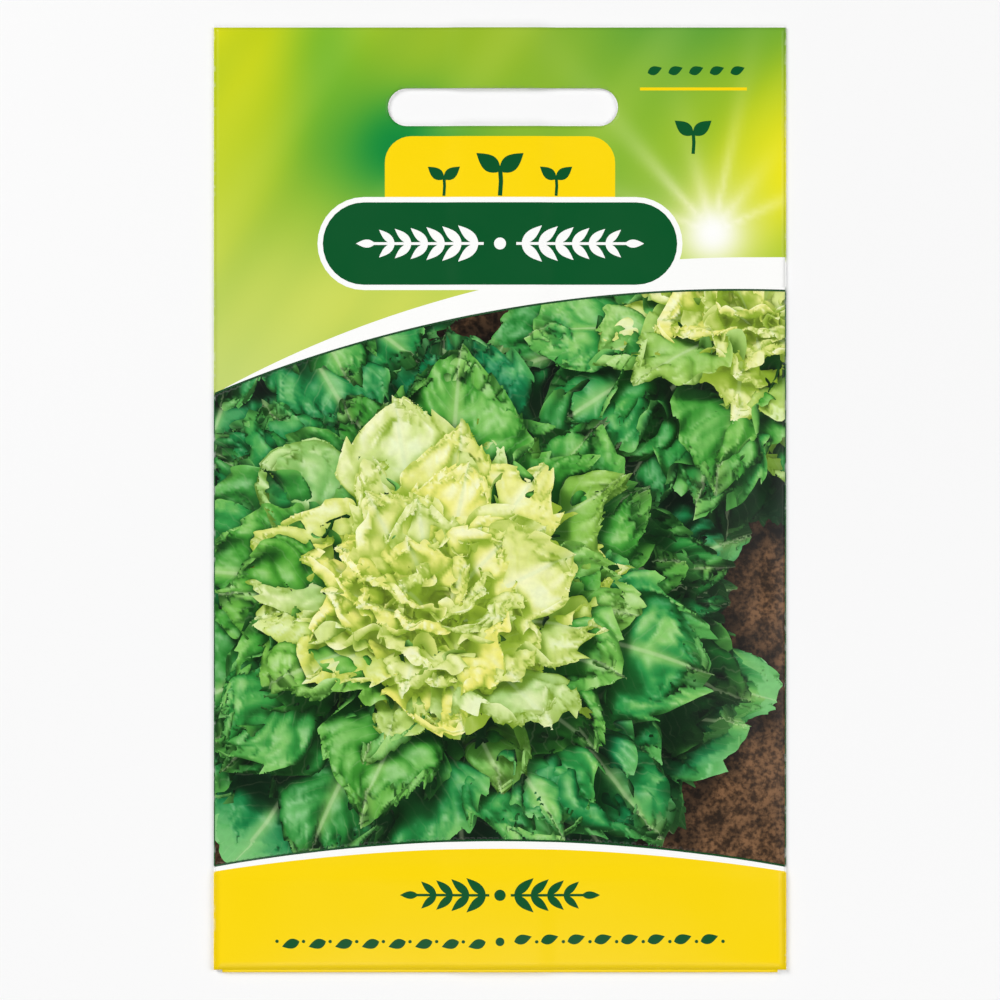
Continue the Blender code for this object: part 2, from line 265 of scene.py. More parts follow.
class Finish:
    """A node material, with short ways to add and join its nodes."""

    def __init__(self, name: str) -> None:
        """Starts a material with its Principled shader.

        Args:
            name: the material's name.
        """
        self.material = bpy.data.materials.new(name)
        self.material.use_nodes = True
        self.tree = self.material.node_tree
        self.shader = self.tree.nodes["Principled BSDF"]
        self.place = self.add("ShaderNodeTexCoord").outputs["Object"]

    def add(self, kind: str, **settings: object) -> bpy.types.Node:
        """Adds a node.

        Args:
            kind: its type.
            **settings: its own settings.

        Returns:
            The new node.
        """
        node = self.tree.nodes.new(kind)
        for key, value in settings.items():
            setattr(node, key, value)
        return node

    def feed(self, socket: Socket, value: object) -> None:
        """Joins a socket to another one, or sets its value.

        Args:
            socket: the socket that takes it.
            value: another node's output, or a number or colour.
        """
        if isinstance(value, Socket):
            self.tree.links.new(value, socket)
        else:
            socket.default_value = value

    def wear(self, **values: object) -> Material:
        """Feeds the shader's own sockets.

        Args:
            **values: what each takes, with _ for the blanks in its name.

        Returns:
            The material.
        """
        for key, value in values.items():
            self.feed(self.shader.inputs[key.replace("_", " ")], value)
        return self.material

    def math(self, operation: str, first: object, second: object = 0.0) -> Socket:
        """One sum on two values.

        Args:
            operation: what to do with them.
            first: a number or an output.
            second: a number or an output.

        Returns:
            The result.
        """
        node = self.add("ShaderNodeMath", operation=operation)
        self.feed(node.inputs[0], first)
        self.feed(node.inputs[1], second)
        return node.outputs[0]

    def times(self, first: object, second: object) -> Socket:
        """The product of two values."""
        return self.math("MULTIPLY", first, second)

    def range(self, value: Socket, low: float, high: float, start: float, end: float) -> Socket:
        """A value that goes from start to end as the given one goes from low to high.

        Args:
            value: the given value.
            low: where it starts to count.
            high: where it stops.
            start: the result at low.
            end: the result at high.

        Returns:
            The new value.
        """
        node = self.add("ShaderNodeMapRange", interpolation_type="SMOOTHSTEP")
        for socket, number in zip(node.inputs, (value, low, high, start, end)):
            self.feed(socket, number)
        return node.outputs[0]

    def noise(self, size: float, detail: float = 3.0, stretch: Sequence[float] = (1, 1, 1)) -> Socket:
        """Noise with features of about the given size in millimetres.

        Args:
            size: the width of its features.
            detail: how many finer layers it has.
            stretch: how much denser it is along each axis.

        Returns:
            Its value, about 0.5 on average.
        """
        mapping = self.add("ShaderNodeMapping")
        self.feed(mapping.inputs["Vector"], self.place)
        mapping.inputs["Scale"].default_value = [share / (size * MM) for share in stretch]
        node = self.add("ShaderNodeTexNoise")
        self.feed(node.inputs["Vector"], mapping.outputs[0])
        node.inputs["Scale"].default_value = 1.0
        node.inputs["Detail"].default_value = detail
        return node.outputs["Fac"]

    def mix(self, share: object, first: object, second: object, way: str = "MIX") -> Socket:
        """Two colours mixed.

        Args:
            share: 0 for the first and 1 for the second.
            first: a colour or an output.
            second: a colour or an output.
            way: how they are mixed.

        Returns:
            The new colour.
        """
        node = self.add("ShaderNodeMix", data_type="RGBA", blend_type=way)
        for number, value in ((0, share), (6, first), (7, second)):
            self.feed(node.inputs[number], value)
        return node.outputs[2]

    def shaded(self, share: object, colour: object, value: Socket) -> Socket:
        """A colour, made darker or lighter by a value.

        Args:
            share: how far it is.
            colour: the colour.
            value: what it is multiplied by.

        Returns:
            The new colour.
        """
        grey = self.add("ShaderNodeCombineColor")
        for channel in grey.inputs[:3]:
            self.feed(channel, value)
        return self.mix(share, colour, self.mix(1.0, colour, grey.outputs[0], "MULTIPLY"))

    def parts(self, vector: Socket) -> list[Socket]:
        """A vector's three numbers.

        Args:
            vector: the vector.

        Returns:
            X, Y and Z.
        """
        node = self.add("ShaderNodeSeparateXYZ")
        self.feed(node.inputs[0], vector)
        return list(node.outputs)

    def bump(self, height: Socket, depth: float) -> None:
        """Lets a height raise the surface.

        Args:
            height: 0 to 1.
            depth: what 1 stands for, in millimetres.
        """
        node = self.add("ShaderNodeBump")
        node.inputs["Strength"].default_value = 1.0
        node.inputs["Distance"].default_value = depth * MM
        self.feed(node.inputs["Height"], height)
        self.feed(self.shader.inputs["Normal"], node.outputs[0])


@dataclass(frozen=True)
class PrintedCoat:
    """Satin-coated printed paper: its inks come from the mesh, its fibre from noise.

    It adds what is finer than the mesh: veins and a mottle on the pictured leaves, and
    crumbs on the soil, where the strength that the mesh holds is below 0.
    """

    roughness: float = 0.36
    gloss: float = 0.2
    fibre_depth: float = 0.0035
    vein_slant: float = 0.75
    vein_rate: float = 0.42
    vein_strength: float = 0.3
    vein_colour: Paint = (0.62, 0.78, 0.45, 1.0)
    mottle_size: float = 1.1
    crumb_sizes: tuple[float, float] = (1.9, 0.7)
    rub_reach: tuple[float, float] = (0.25, 0.12)
    rub_strength: float = 0.3
    rubbed_paper: Paint = (0.86, 0.87, 0.84, 1.0)

    def veins(self, finish: Finish, along: Socket, across: Socket) -> Socket:
        """The pictured leaves' midrib and wandering side veins.

        Args:
            finish: the material.
            along: how far along its leaf a place lies.
            across: how far from the midrib it lies.

        Returns:
            1 on a midrib, 0.3 on a side vein and 0 between them.
        """
        beside = finish.math("ABSOLUTE", across)
        wander = finish.times(finish.noise(2.6), 1.6)
        rank = finish.math("SUBTRACT", along, finish.times(beside, self.vein_slant))
        rank = finish.math("ADD", rank, wander)
        lines = finish.math("PINGPONG", finish.times(rank, self.vein_rate), 0.5)
        broken = finish.range(finish.noise(7.0), 0.4, 0.65, 0.15, 1.0)
        side_veins = finish.times(finish.range(lines, 0.0, 0.11, 1.0, 0.0), broken)
        rib = finish.range(beside, 0.12, 0.55, 1.0, 0.0)
        return finish.math("MAXIMUM", finish.times(side_veins, self.vein_strength), rib)

    def build(self, name: str, edge_x: float) -> Material:
        """The material.

        Args:
            name: its name.
            edge_x: where the folds rub the ink off, in millimetres.

        Returns:
            The new material.
        """
        finish = Finish(name)
        blade = finish.add("ShaderNodeAttribute", attribute_name="blade")
        along, across, strength = finish.parts(blade.outputs["Vector"])
        leafy = finish.math("MAXIMUM", strength, 0.0)
        vein = finish.times(self.veins(finish, along, across), leafy)
        ink = finish.add("ShaderNodeAttribute", attribute_name="ink").outputs["Color"]
        colour = finish.mix(finish.times(vein, self.vein_strength), ink, self.vein_colour)
        mottle = finish.range(finish.noise(self.mottle_size, 4.0), 0.3, 0.7, 0.93, 1.05)
        colour = finish.shaded(finish.times(leafy, 0.8), colour, mottle)
        coarse, fine = self.crumb_sizes
        crumbs = finish.times(finish.noise(coarse, 5.0), finish.noise(fine, 4.0))
        soil = finish.math("MAXIMUM", finish.times(strength, -1.0), 0.0)
        colour = finish.shaded(soil, colour, finish.range(crumbs, 0.14, 0.38, 0.3, 1.9))
        beside = finish.math("ABSOLUTE", finish.parts(finish.place)[0])
        before, past = self.rub_reach
        rubbed = finish.range(beside, (edge_x - before) * MM, (edge_x + past) * MM, 0.0, 1.0)
        patches = finish.range(finish.noise(1.6, 5.0), 0.52, 0.68, 0.0, self.rub_strength)
        colour = finish.mix(finish.times(rubbed, patches), colour, self.rubbed_paper)
        least, most = self.roughness - 0.05, self.roughness + 0.06
        smear = finish.range(finish.noise(14.0, 4.0), 0.25, 0.75, least, most)
        fibre = finish.math("ADD", finish.noise(0.35, 4.0), finish.noise(0.12, 2.0, (1.0, 0.25, 1.0)))
        finish.bump(fibre, self.fibre_depth)
        return finish.wear(Base_Color=colour, Roughness=smear, Specular_IOR_Level=self.gloss)


@dataclass(frozen=True)
class BarePaper:
    """Uncoated paper: the inside of the sheet or its cut edge."""

    colour: Paint = (0.83, 0.83, 0.80, 1.0)
    fleck: Paint = (0.74, 0.73, 0.69, 1.0)
    roughness: float = 0.8
    gloss: float = 0.25
    fibre_depth: float = 0.012

    def build(self, name: str) -> Material:
        """The material, with its fibres.

        Args:
            name: its name.

        Returns:
            The new material.
        """
        finish = Finish(name)
        fibre = finish.noise(0.5, 5.0, (1.0, 0.3, 1.0))
        colour = finish.mix(finish.range(fibre, 0.35, 0.7, 0.0, 1.0), self.colour, self.fleck)
        finish.bump(fibre, self.fibre_depth)
        return finish.wear(Base_Color=colour, Roughness=self.roughness, Specular_IOR_Level=self.gloss)


@dataclass(frozen=True)
class BarrierFoil:
    """Matt foil laminate with fine crinkles and rolled pressed edges."""

    colour: Paint = (0.76, 0.77, 0.78, 1.0)
    # painted highlight: the lighter grey that the raised tops of the crinkles are mixed toward
    ridge: Paint = (0.7736, 0.7822, 0.7908, 1.0)
    metallic: float = 0.85
    crinkle_depth: float = 0.16

    def build(self, name: str) -> Material:
        """The material, with crinkles of two sizes and a painted highlight on their raised tops.

        Args:
            name: its name.

        Returns:
            The new material.
        """
        finish = Finish(name)
        crinkle = finish.math("ADD", finish.noise(7.0, 6.0), finish.times(finish.noise(1.6, 4.0), 0.3))
        # painted highlight: the higher a crinkle stands, the lighter its colour
        colour = finish.mix(finish.range(crinkle, 0.4, 0.9, 0.0, 1.0), self.colour, self.ridge)
        finish.bump(crinkle, self.crinkle_depth)
        rough = finish.range(finish.noise(3.0), 0.3, 0.7, 0.28, 0.42)
        return finish.wear(Base_Color=colour, Roughness=rough, Metallic=self.metallic)


@dataclass(frozen=True)
class SeedCoat:
    """Dry ribbed seed coat, straw to brown."""

    pale: Paint = (0.50, 0.39, 0.25, 1.0)
    dark: Paint = (0.22, 0.14, 0.07, 1.0)
    speck: Paint = (0.1, 0.06, 0.03, 1.0)
    roughness: float = 0.72
    rib_depth: float = 0.08

    def build(self, name: str) -> Material:
        """The material: each stretch of the heap has its own shade.

        Args:
            name: its name.

        Returns:
            The new material.
        """
        finish = Finish(name)
        patch = finish.range(finish.noise(2.4, 2.0), 0.3, 0.7, 0.0, 1.0)
        fine = finish.noise(0.25, 5.0, (1.0, 0.4, 1.0))
        colour = finish.mix(patch, self.pale, self.dark)
        colour = finish.mix(finish.range(fine, 0.5, 0.75, 0.0, 0.6), colour, self.speck)
        finish.bump(fine, self.rib_depth)
        return finish.wear(Base_Color=colour, Roughness=self.roughness)


def link(obj: Object) -> Object:
    """Puts a new object in the scene, and gives it back."""
    bpy.context.scene.collection.objects.link(obj)
    return obj


def mesh_object(
    name: str,
    points: Array,
    faces: Iterable[Sequence[int]],
    materials: Iterable[Material],
) -> Object:
    """A new smooth-shaded object.

    Args:
        name: its name.
        points: its vertices in millimetres, one row each.
        faces: its faces, as numbers of vertices.
        materials: its materials, in the order of its faces' numbers.

    Returns:
        The new object, in the scene.
    """
    data = bpy.data.meshes.new(name)
    data.from_pydata((np.asarray(points) * MM).tolist(), [], [list(face) for face in faces])
    for finish in materials:
        data.materials.append(finish)
    data.shade_smooth()
    data.update()
    return link(bpy.data.objects.new(name, data))


def settle(obj: Object) -> None:
    """Replaces an object's mesh by what its modifiers make of it.

    Args:
        obj: the object.
    """
    bpy.context.view_layer.update()
    graph = bpy.context.evaluated_depsgraph_get()
    made = bpy.data.meshes.new_from_object(obj.evaluated_get(graph))
    obj.modifiers.clear()
    obj.data = made


def store(obj: Object, name: str, domain: str, values: Array) -> None:
    """Writes an attribute on an object's mesh.

    Args:
        obj: the object.
        name: the attribute's name.
        domain: what each row belongs to.
        values: rows of four numbers for colours, or of three for vectors.
    """
    kind, field = ("FLOAT_COLOR", "color") if values.shape[-1] == 4 else ("FLOAT_VECTOR", "vector")
    made = obj.data.attributes.new(name, kind, domain)
    made.data.foreach_set(field, values.reshape(-1))


def level_row(x: Array, y: float, z: Array) -> Array:
    """Points across the sheet that share one Y."""
    return np.stack([x, np.full_like(x, y), z], axis=1)


@dataclass
class FoldedSheet:
    """The paper itself: one sheet folded into a tube, with its lap, flap and slot."""

    form: PacketForm
    thickness: float = 0.15
    pitch: float = 1.25
    lap_columns: int = 5
    lap_fade_columns: int = 11
    flap_fade_rows: int = 9
    fold_steps: int = 8
    flap_rows: int = 10
    punch_reach: float = 5.0

    def columns(self) -> Array:
        """Places across the front, closer over the lap's edges.

        Returns:
            X of each, from left to right.
        """
        form = self.form
        count = round((form.flap_fold_half_width - form.lap_fade) / self.pitch)
        half = np.unique(np.concatenate([
            np.linspace(0.0, form.lap_flat, self.lap_columns),
            np.linspace(form.lap_flat, form.lap_fade, self.lap_fade_columns),
            np.linspace(form.lap_fade, form.flap_fold_half_width, count + 1),
            [form.edge_x],
        ]).round(6))
        return np.concatenate([-half[:0:-1], half])

    def rows(self) -> Array:
        """Places along the packet, closer past the flap's edge.

        Returns:
            Y of each, from the bottom fold to the header's edge.
        """
        form = self.form
        fade = form.flap_top_y + form.flap_fade
        count = round((form.top_y - fade) / self.pitch)
        return np.unique(np.concatenate([
            np.linspace(form.front_bottom_y, form.flap_top_y, self.flap_rows + 1),
            np.linspace(form.flap_top_y + form.flap_clear, fade, self.flap_fade_rows),
            np.linspace(fade, form.top_y, count + 1),
        ]).round(6))

    def fold(self, side: int, y: float) -> Array:
        """Points round a side fold at one row.

        Args:
            side: -1 for the left fold and 1 for the right one.
            y: the row's place.

        Returns:
            The points, from the front to the back.
        """
        form = self.form
        middle = form.bottom_level + form.pitch * (0.5 + form.flap_rise(y))
        turn = math.pi * np.arange(1, self.fold_steps) / self.fold_steps
        x = side * (form.edge_x + form.fold_radius * np.sin(turn))
        return level_row(x, y, middle + form.fold_radius * np.cos(turn))

    def section(self, columns: Array, y: float) -> tuple[Array, int]:
        """The sheet's middle line at one row.

        Args:
            columns: places across the front.
            y: the row's place.

        Returns:
            Its points, from the lap's free edge round to the other free edge, and the
            number of the first one on the front.
        """
        form = self.form
        back_y = max(y, form.back_end_setback - form.height / 2)
        falling = columns[::-1]
        left = np.concatenate([[form.lap_half_width], falling[falling < form.lap_half_width]])
        right = np.concatenate([falling[falling > -form.lap_half_width], [-form.lap_half_width]])
        spans = [
            level_row(left, back_y, form.left_back(left, back_y)),
            self.fold(-1, y)[::-1],
            level_row(columns, y, form.front(columns, y)),
            self.fold(1, y),
            level_row(right, back_y, form.right_back(right, back_y)),
        ]
        return np.concatenate(spans), len(spans[0]) + len(spans[1])

    def flap(self, columns: Array) -> list[Array]:
        """Rows of the bottom flap, round the fold and up to its free edge.

        Args:
            columns: places across the front's bottom edge.

        Returns:
            The points of each row.
        """
        form = self.form
        top = form.front(columns, form.front_bottom_y)
        middle = (top + form.bottom_level) / 2
        made = []
        for step in range(1, self.fold_steps + 1):
            turn = math.pi * step / self.fold_steps
            y = form.front_bottom_y - form.flap_fold_reach * math.sin(turn)
            made.append(level_row(columns, y, middle + (top - middle) * math.cos(turn)))
        for y in np.linspace(form.front_bottom_y, form.flap_top_y, self.flap_rows + 1)[1:]:
            share = (y - form.front_bottom_y) / (form.flap_top_y - form.front_bottom_y)
            x = columns * (1 - share * (1 - form.flap_end_half_width / form.flap_fold_half_width))
            made.append(level_row(x, y, form.flap(x, y)))
        return made

    def punch(self, materials: Sequence[Material]) -> Object:
        """The prism that cuts the slot.

        Args:
            materials: the sheet's own, of which the last is for cut edges.

        Returns:
            The new object.
        """
        outline = self.form.slot_outline()
        count = len(outline)
        low = np.column_stack([outline, np.full(count, -self.punch_reach)])
        high = np.column_stack([outline, np.full(count, self.punch_reach)])
        around = [(i, (i + 1) % count, (i + 1) % count + count, i + count) for i in range(count)]
        caps = [tuple(range(count))[::-1], tuple(range(count, 2 * count))]
        cutter = mesh_object("slot_punch", np.concatenate([low, high]), around + caps, materials)
        for side in cutter.data.polygons:
            side.material_index = len(materials) - 1
        return cutter

    def surface(self) -> tuple[Array, list[Sequence[int]]]:
        """The sheet's middle surface, with its side folds, its lap and its flap.

        Returns:
            Its points and its faces.
        """
        columns = self.columns()
        points, faces, start = [], [], 0
        for y in self.rows():
            row, first = self.section(columns, y)
            if points:
                faces += [(start - len(row) + i, start - len(row) + i + 1, start + i + 1, start + i)
                          for i in range(len(row) - 1)]
            points.append(row)
            start += len(row)
        above = np.arange(first + 1, first + len(columns) - 1)
        for row in self.flap(columns[1:-1]):
            below = np.arange(start, start + len(row))
            faces += [(below[i], below[i + 1], above[i + 1], above[i]) for i in range(len(row) - 1)]
            points.append(row)
            above = below
            start += len(row)
        return np.concatenate(points), faces

    def build(self, outside: Material, inside: Material) -> Object:
        """The folded paper.

        Args:
            outside: the finish of the printed side.
            inside: the finish of the bare side and of the cut edges.

        Returns:
            The new object.
        """
        materials = [outside, inside, inside]
        sheet = mesh_object("folded_sheet", *self.surface(), materials)
        solid = sheet.modifiers.new("paper", "SOLIDIFY")
        solid.thickness = self.thickness * MM
        solid.offset = 0.0
        solid.use_even_offset = True
        solid.material_offset = 1
        solid.material_offset_rim = 2
        cut = sheet.modifiers.new("slot", "BOOLEAN")
        cut.operation = "DIFFERENCE"
        cut.object = cutter = self.punch(materials)
        settle(sheet)
        bpy.data.objects.remove(cutter)
        return sheet

    def ink(self, sheet: Object, face: "FacePrint") -> None:
        """Colours the folds like the face, and what no film covers on the back like the back.

        Args:
            sheet: the folded paper.
            face: the print on its face.
        """
        data = sheet.data
        places = np.zeros(len(data.vertices) * 3)
        data.vertices.foreach_get("co", places)
        places = places.reshape(-1, 3) / MM
        colours = np.ones((len(places), 4))
        colours[:, :3] = linear(face.edge_colours(places[:, :2]))
        behind = (places[:, 2] < self.form.bottom_level) & (np.abs(places[:, 0]) < self.form.edge_x)
        behind &= places[:, 1] > self.form.flap_top_y
        colours[behind, :3] = linear(Ink.PALE.colour)
        store(sheet, "ink", "POINT", colours)


@dataclass(frozen=True)
class Hits:
    """What is seen at some places of the picture."""

    leaf: Array
    depth: Array
    normal: Array
    along: Array
    across: Array
    rib: Array
    age: Array
    tint: Array
    edge: Array
    open_sky: Array
    sun: Array

    def pick(self, chosen: Array) -> "Hits":
        """The hits at the chosen numbers."""
        return Hits(*(getattr(self, name)[chosen] for name in self.__dataclass_fields__))


@dataclass(frozen=True)
class Head:
    """One leafy head in the printed bed: its place on the ground, its size and its leaves."""

    x: float
    y: float
    radius: float
    leaves: int
    turn: float
    seed: int


@dataclass(frozen=True)
class Trend:
    """A measure that changes from a head's innermost leaf to its outermost, and varies."""

    inner: float
    change: float
    power: float
    least: float
    most: float

    def at(self, age: float, draw: np.random.Generator) -> float:
        """Its value for one leaf."""
        return self.inner + self.change * age ** self.power + draw.uniform(self.least, self.most)


@dataclass(frozen=True)
class Leaf:
    """One leaf as a grid of points, with a toothed margin that waves and curls over.

    Its rows run from its base, u = 0, to its tip, u = 1. Its columns run from one margin,
    v = -1, over the midrib to the other, v = 1. Lengths are in millimetres of the picture.
    """

    head: Head
    age: float
    turn: float
    length: float
    half: float
    rise: float
    bend: float
    waves: Array
    teeth: float
    lobes: float
    ruffles: float
    cup: float
    roll: float
    sway: float
    tint: float

    rows: int = 100
    sides: int = 33
    rise_trend: Trend = Trend(82.0, -66.0, 0.58, -7.0, 7.0)
    bend_trend: Trend = Trend(6.0, 62.0, 0.8, -12.0, 18.0)
    ruffle_trend: Trend = Trend(0.0, 2.2, 1.0, 4.4, 6.4)
    cup_trend: Trend = Trend(0.75, -1.1, 1.0, -0.35, 0.35)
    tooth_depth: float = 0.38
    tooth_reach: float = 0.11
    quilt_depth: float = 0.075
    blister_depth: float = 0.014
    rib_height: float = 0.05
    lowest: float = 0.35

    @classmethod
    def grown(cls, head: Head, age: float, turn: float, draw: np.random.Generator) -> "Leaf":
        """A leaf with measures drawn for its place in the head.

        Args:
            head: the head that it grows in.
            age: 0 for the innermost leaf and 1 for the outermost.
            turn: its heading round the head.
            draw: the source of its random numbers.

        Returns:
            The new leaf.
        """
        length = head.radius * (0.33 + 0.69 * age ** 0.75) * draw.uniform(0.88, 1.1)
        return cls(
            head=head,
            age=age,
            turn=turn,
            length=length,
            half=length * draw.uniform(0.31, 0.40) * (1.17 - 0.34 * age),
            rise=math.radians(cls.rise_trend.at(age, draw)),
            bend=math.radians(cls.bend_trend.at(age, draw)),
            waves=draw.uniform(0, 2 * math.pi, 8),
            teeth=draw.uniform(20, 28),
            lobes=draw.uniform(6, 9),
            ruffles=cls.ruffle_trend.at(age, draw),
            cup=cls.cup_trend.at(age, draw),
            roll=draw.uniform(-0.6, 0.6),
            sway=draw.uniform(-0.14, 0.14),
            tint=draw.uniform(-1, 1),
        )

    @property
    def u(self) -> Array:
        """Shares of the way from base to tip, one to a row."""
        return np.linspace(0.0, 1.0, self.rows)[:, None]

    @property
    def v(self) -> Array:
        """Shares of the way from the midrib to the margins, one to a column."""
        return np.linspace(-1.0, 1.0, self.sides)[None, :]

    @property
    def swell(self) -> Array:
        """How the leaf widens from its stalk to its widest place."""
        return 0.15 + 0.85 * ease(self.u, 0.02, 0.62)

    @property
    def margin(self) -> Array:
        """0 along the midrib and 1 all round the edge, over the tip too."""
        tipward = (np.clip(self.u - 0.42, 0, 1) / 0.58) ** 4
        return np.sqrt(np.clip(self.v ** 2 + tipward * (1 - self.v ** 2), 0, 1))

    @property
    def angle(self) -> Array:
        """The heading of each point from the leaf's middle, 0 toward the tip."""
        return np.arctan2(self.v, (self.u - 0.45) * 2.2)

    def outward(self, steps: Array) -> Array:
        """Steps added up from the midrib to both margins.

        Args:
            steps: how far each column lies from the one before it.

        Returns:
            How far each column lies from the midrib.
        """
        middle = self.sides // 2
        steps = steps.copy()
        steps[:, middle] = 0.0
        right = np.cumsum(steps[:, middle:], axis=1)
        left = np.cumsum(steps[:, middle::-1], axis=1)[:, ::-1]
        return np.concatenate([left[:, :-1], right], axis=1)

    def outline(self) -> tuple[Array, Array]:
        """The leaf's cut edge, with lobes and saw teeth.

        Returns:
            Half the width at each point, and how much further out its teeth reach.
        """
        u, angle, waves = self.u, self.angle, self.waves
        tip = np.sqrt(np.clip(1.0 - (np.clip(u - 0.64, 0, 1) / 0.36) ** 2.4, 0.0, 1.0))
        saw = np.mod(-np.abs(angle) * self.teeth / math.pi + 0.4 * np.sin(4 * angle + waves[6]), 1.0)
        lobes = np.sin(self.lobes * angle + waves[7])
        jag = ((saw - 0.5) * (0.75 + 0.45 * np.sin(3 * angle + waves[5])) + 0.45 * lobes) * self.margin ** 4
        reach = self.length * (u + self.tooth_reach * jag * ease(u, 0.6, 1.0))
        return self.half * self.swell * tip * (1.0 + self.tooth_depth * jag), reach - self.length * u

    def curl(self) -> Array:
        """How steeply the blade stands up or folds down at each point, in radians.

        Returns:
            The slopes, which wave more and more toward the margin.
        """
        u, angle, margin, waves = self.u, self.angle, self.margin, self.waves
        ruffle = np.sin(self.ruffles * angle * 1.3 + waves[0] + 0.8 * np.sin(2 * angle + waves[1]))
        ruffle += 0.95 * np.sin(self.ruffles * 2.4 * angle + waves[2]) * margin
        slope = (1.15 + 0.1 * self.age) * ruffle * margin ** 1.5 * ease(u, 0.1, 0.45)
        slope += self.cup * np.abs(self.v) * self.swell * (1.0 - 0.85 * ease(u, 0.45, 0.9))
        return slope

    def relief(self, a: Array, b: Array) -> tuple[Array, Array, Array]:
        """What stands out of the smooth blade.

        Args:
            a: how far each point lies along the leaf.
            b: how far it lies from the midrib.

        Returns:
            Heights of the pads between its side veins, of its midrib and of its frill.
        """
        waves, half = self.waves, self.half
        bumps = np.sin(a * 1.15 + 1.7 * np.sin(b * 0.6 + waves[4])) * np.sin(b * 1.35 + a * 0.5 + waves[5])
        quilt = np.abs(np.sin(0.62 * (a - 0.75 * np.abs(b)) + 0.7 * np.sin(0.45 * b + waves[4])))
        pads = half * (self.blister_depth * bumps + self.quilt_depth * quilt)
        pads = pads * ease(np.abs(b), 0.2, 2.4) * ease(self.u, 0.12, 0.4)
        rib = self.rib_height * half * np.exp(-(b / (0.09 * half + 0.2)) ** 2) * (1.0 - 0.7 * self.u)
        wave = np.sin(self.ruffles * 6.3 * self.angle + waves[3])
        return pads, rib, (0.05 + 0.03 * self.age) * half * wave * self.margin ** 3

    def grid(self) -> Grid:
        """The leaf in the bed.

        Returns:
            Its points there, and what the picture needs to know at each.
        """
        u, v, head = self.u, self.v, self.head
        half_width, teeth = self.outline()
        theta = self.rise - self.bend * u ** 1.25
        step = self.length / (self.rows - 1)
        out = np.cumsum(np.cos(theta), axis=0) * step + teeth * np.cos(theta)
        up = np.cumsum(np.sin(theta), axis=0) * step + teeth * np.sin(theta)
        slope = self.curl()
        pace = half_width / (self.sides // 2)
        a, b = u * self.length, v * half_width
        lift = sum(self.relief(a, b), self.outward(np.sin(slope) * pace))
        flat = self.outward(np.cos(slope) * pace) * np.sign(v)
        roll = self.roll * u
        side = flat * np.cos(roll) - lift * np.sin(roll) + self.sway * self.length * u ** 2
        over = flat * np.sin(roll) + lift * np.cos(roll)
        radial = out + over * -np.sin(theta) + head.radius * 0.05 * self.age
        height = up + over * np.cos(theta) + head.radius * (0.05 + 0.03 * (1 - self.age))
        height = np.maximum(height, self.lowest + 0.02 * head.radius * self.margin)
        full = np.ones_like(height)
        return {
            "x": head.x + radial * math.cos(self.turn) - side * math.sin(self.turn),
            "y": head.y + radial * math.sin(self.turn) + side * math.cos(self.turn),
            "z": height,
            "along": a * full,
            "across": b,
            "rib": np.exp(-(b / (self.half * (0.16 - 0.12 * u) + 0.25)) ** 2),
            "age": full * self.age,
            "tint": full * self.tint,
            "edge": self.margin * full,
        }


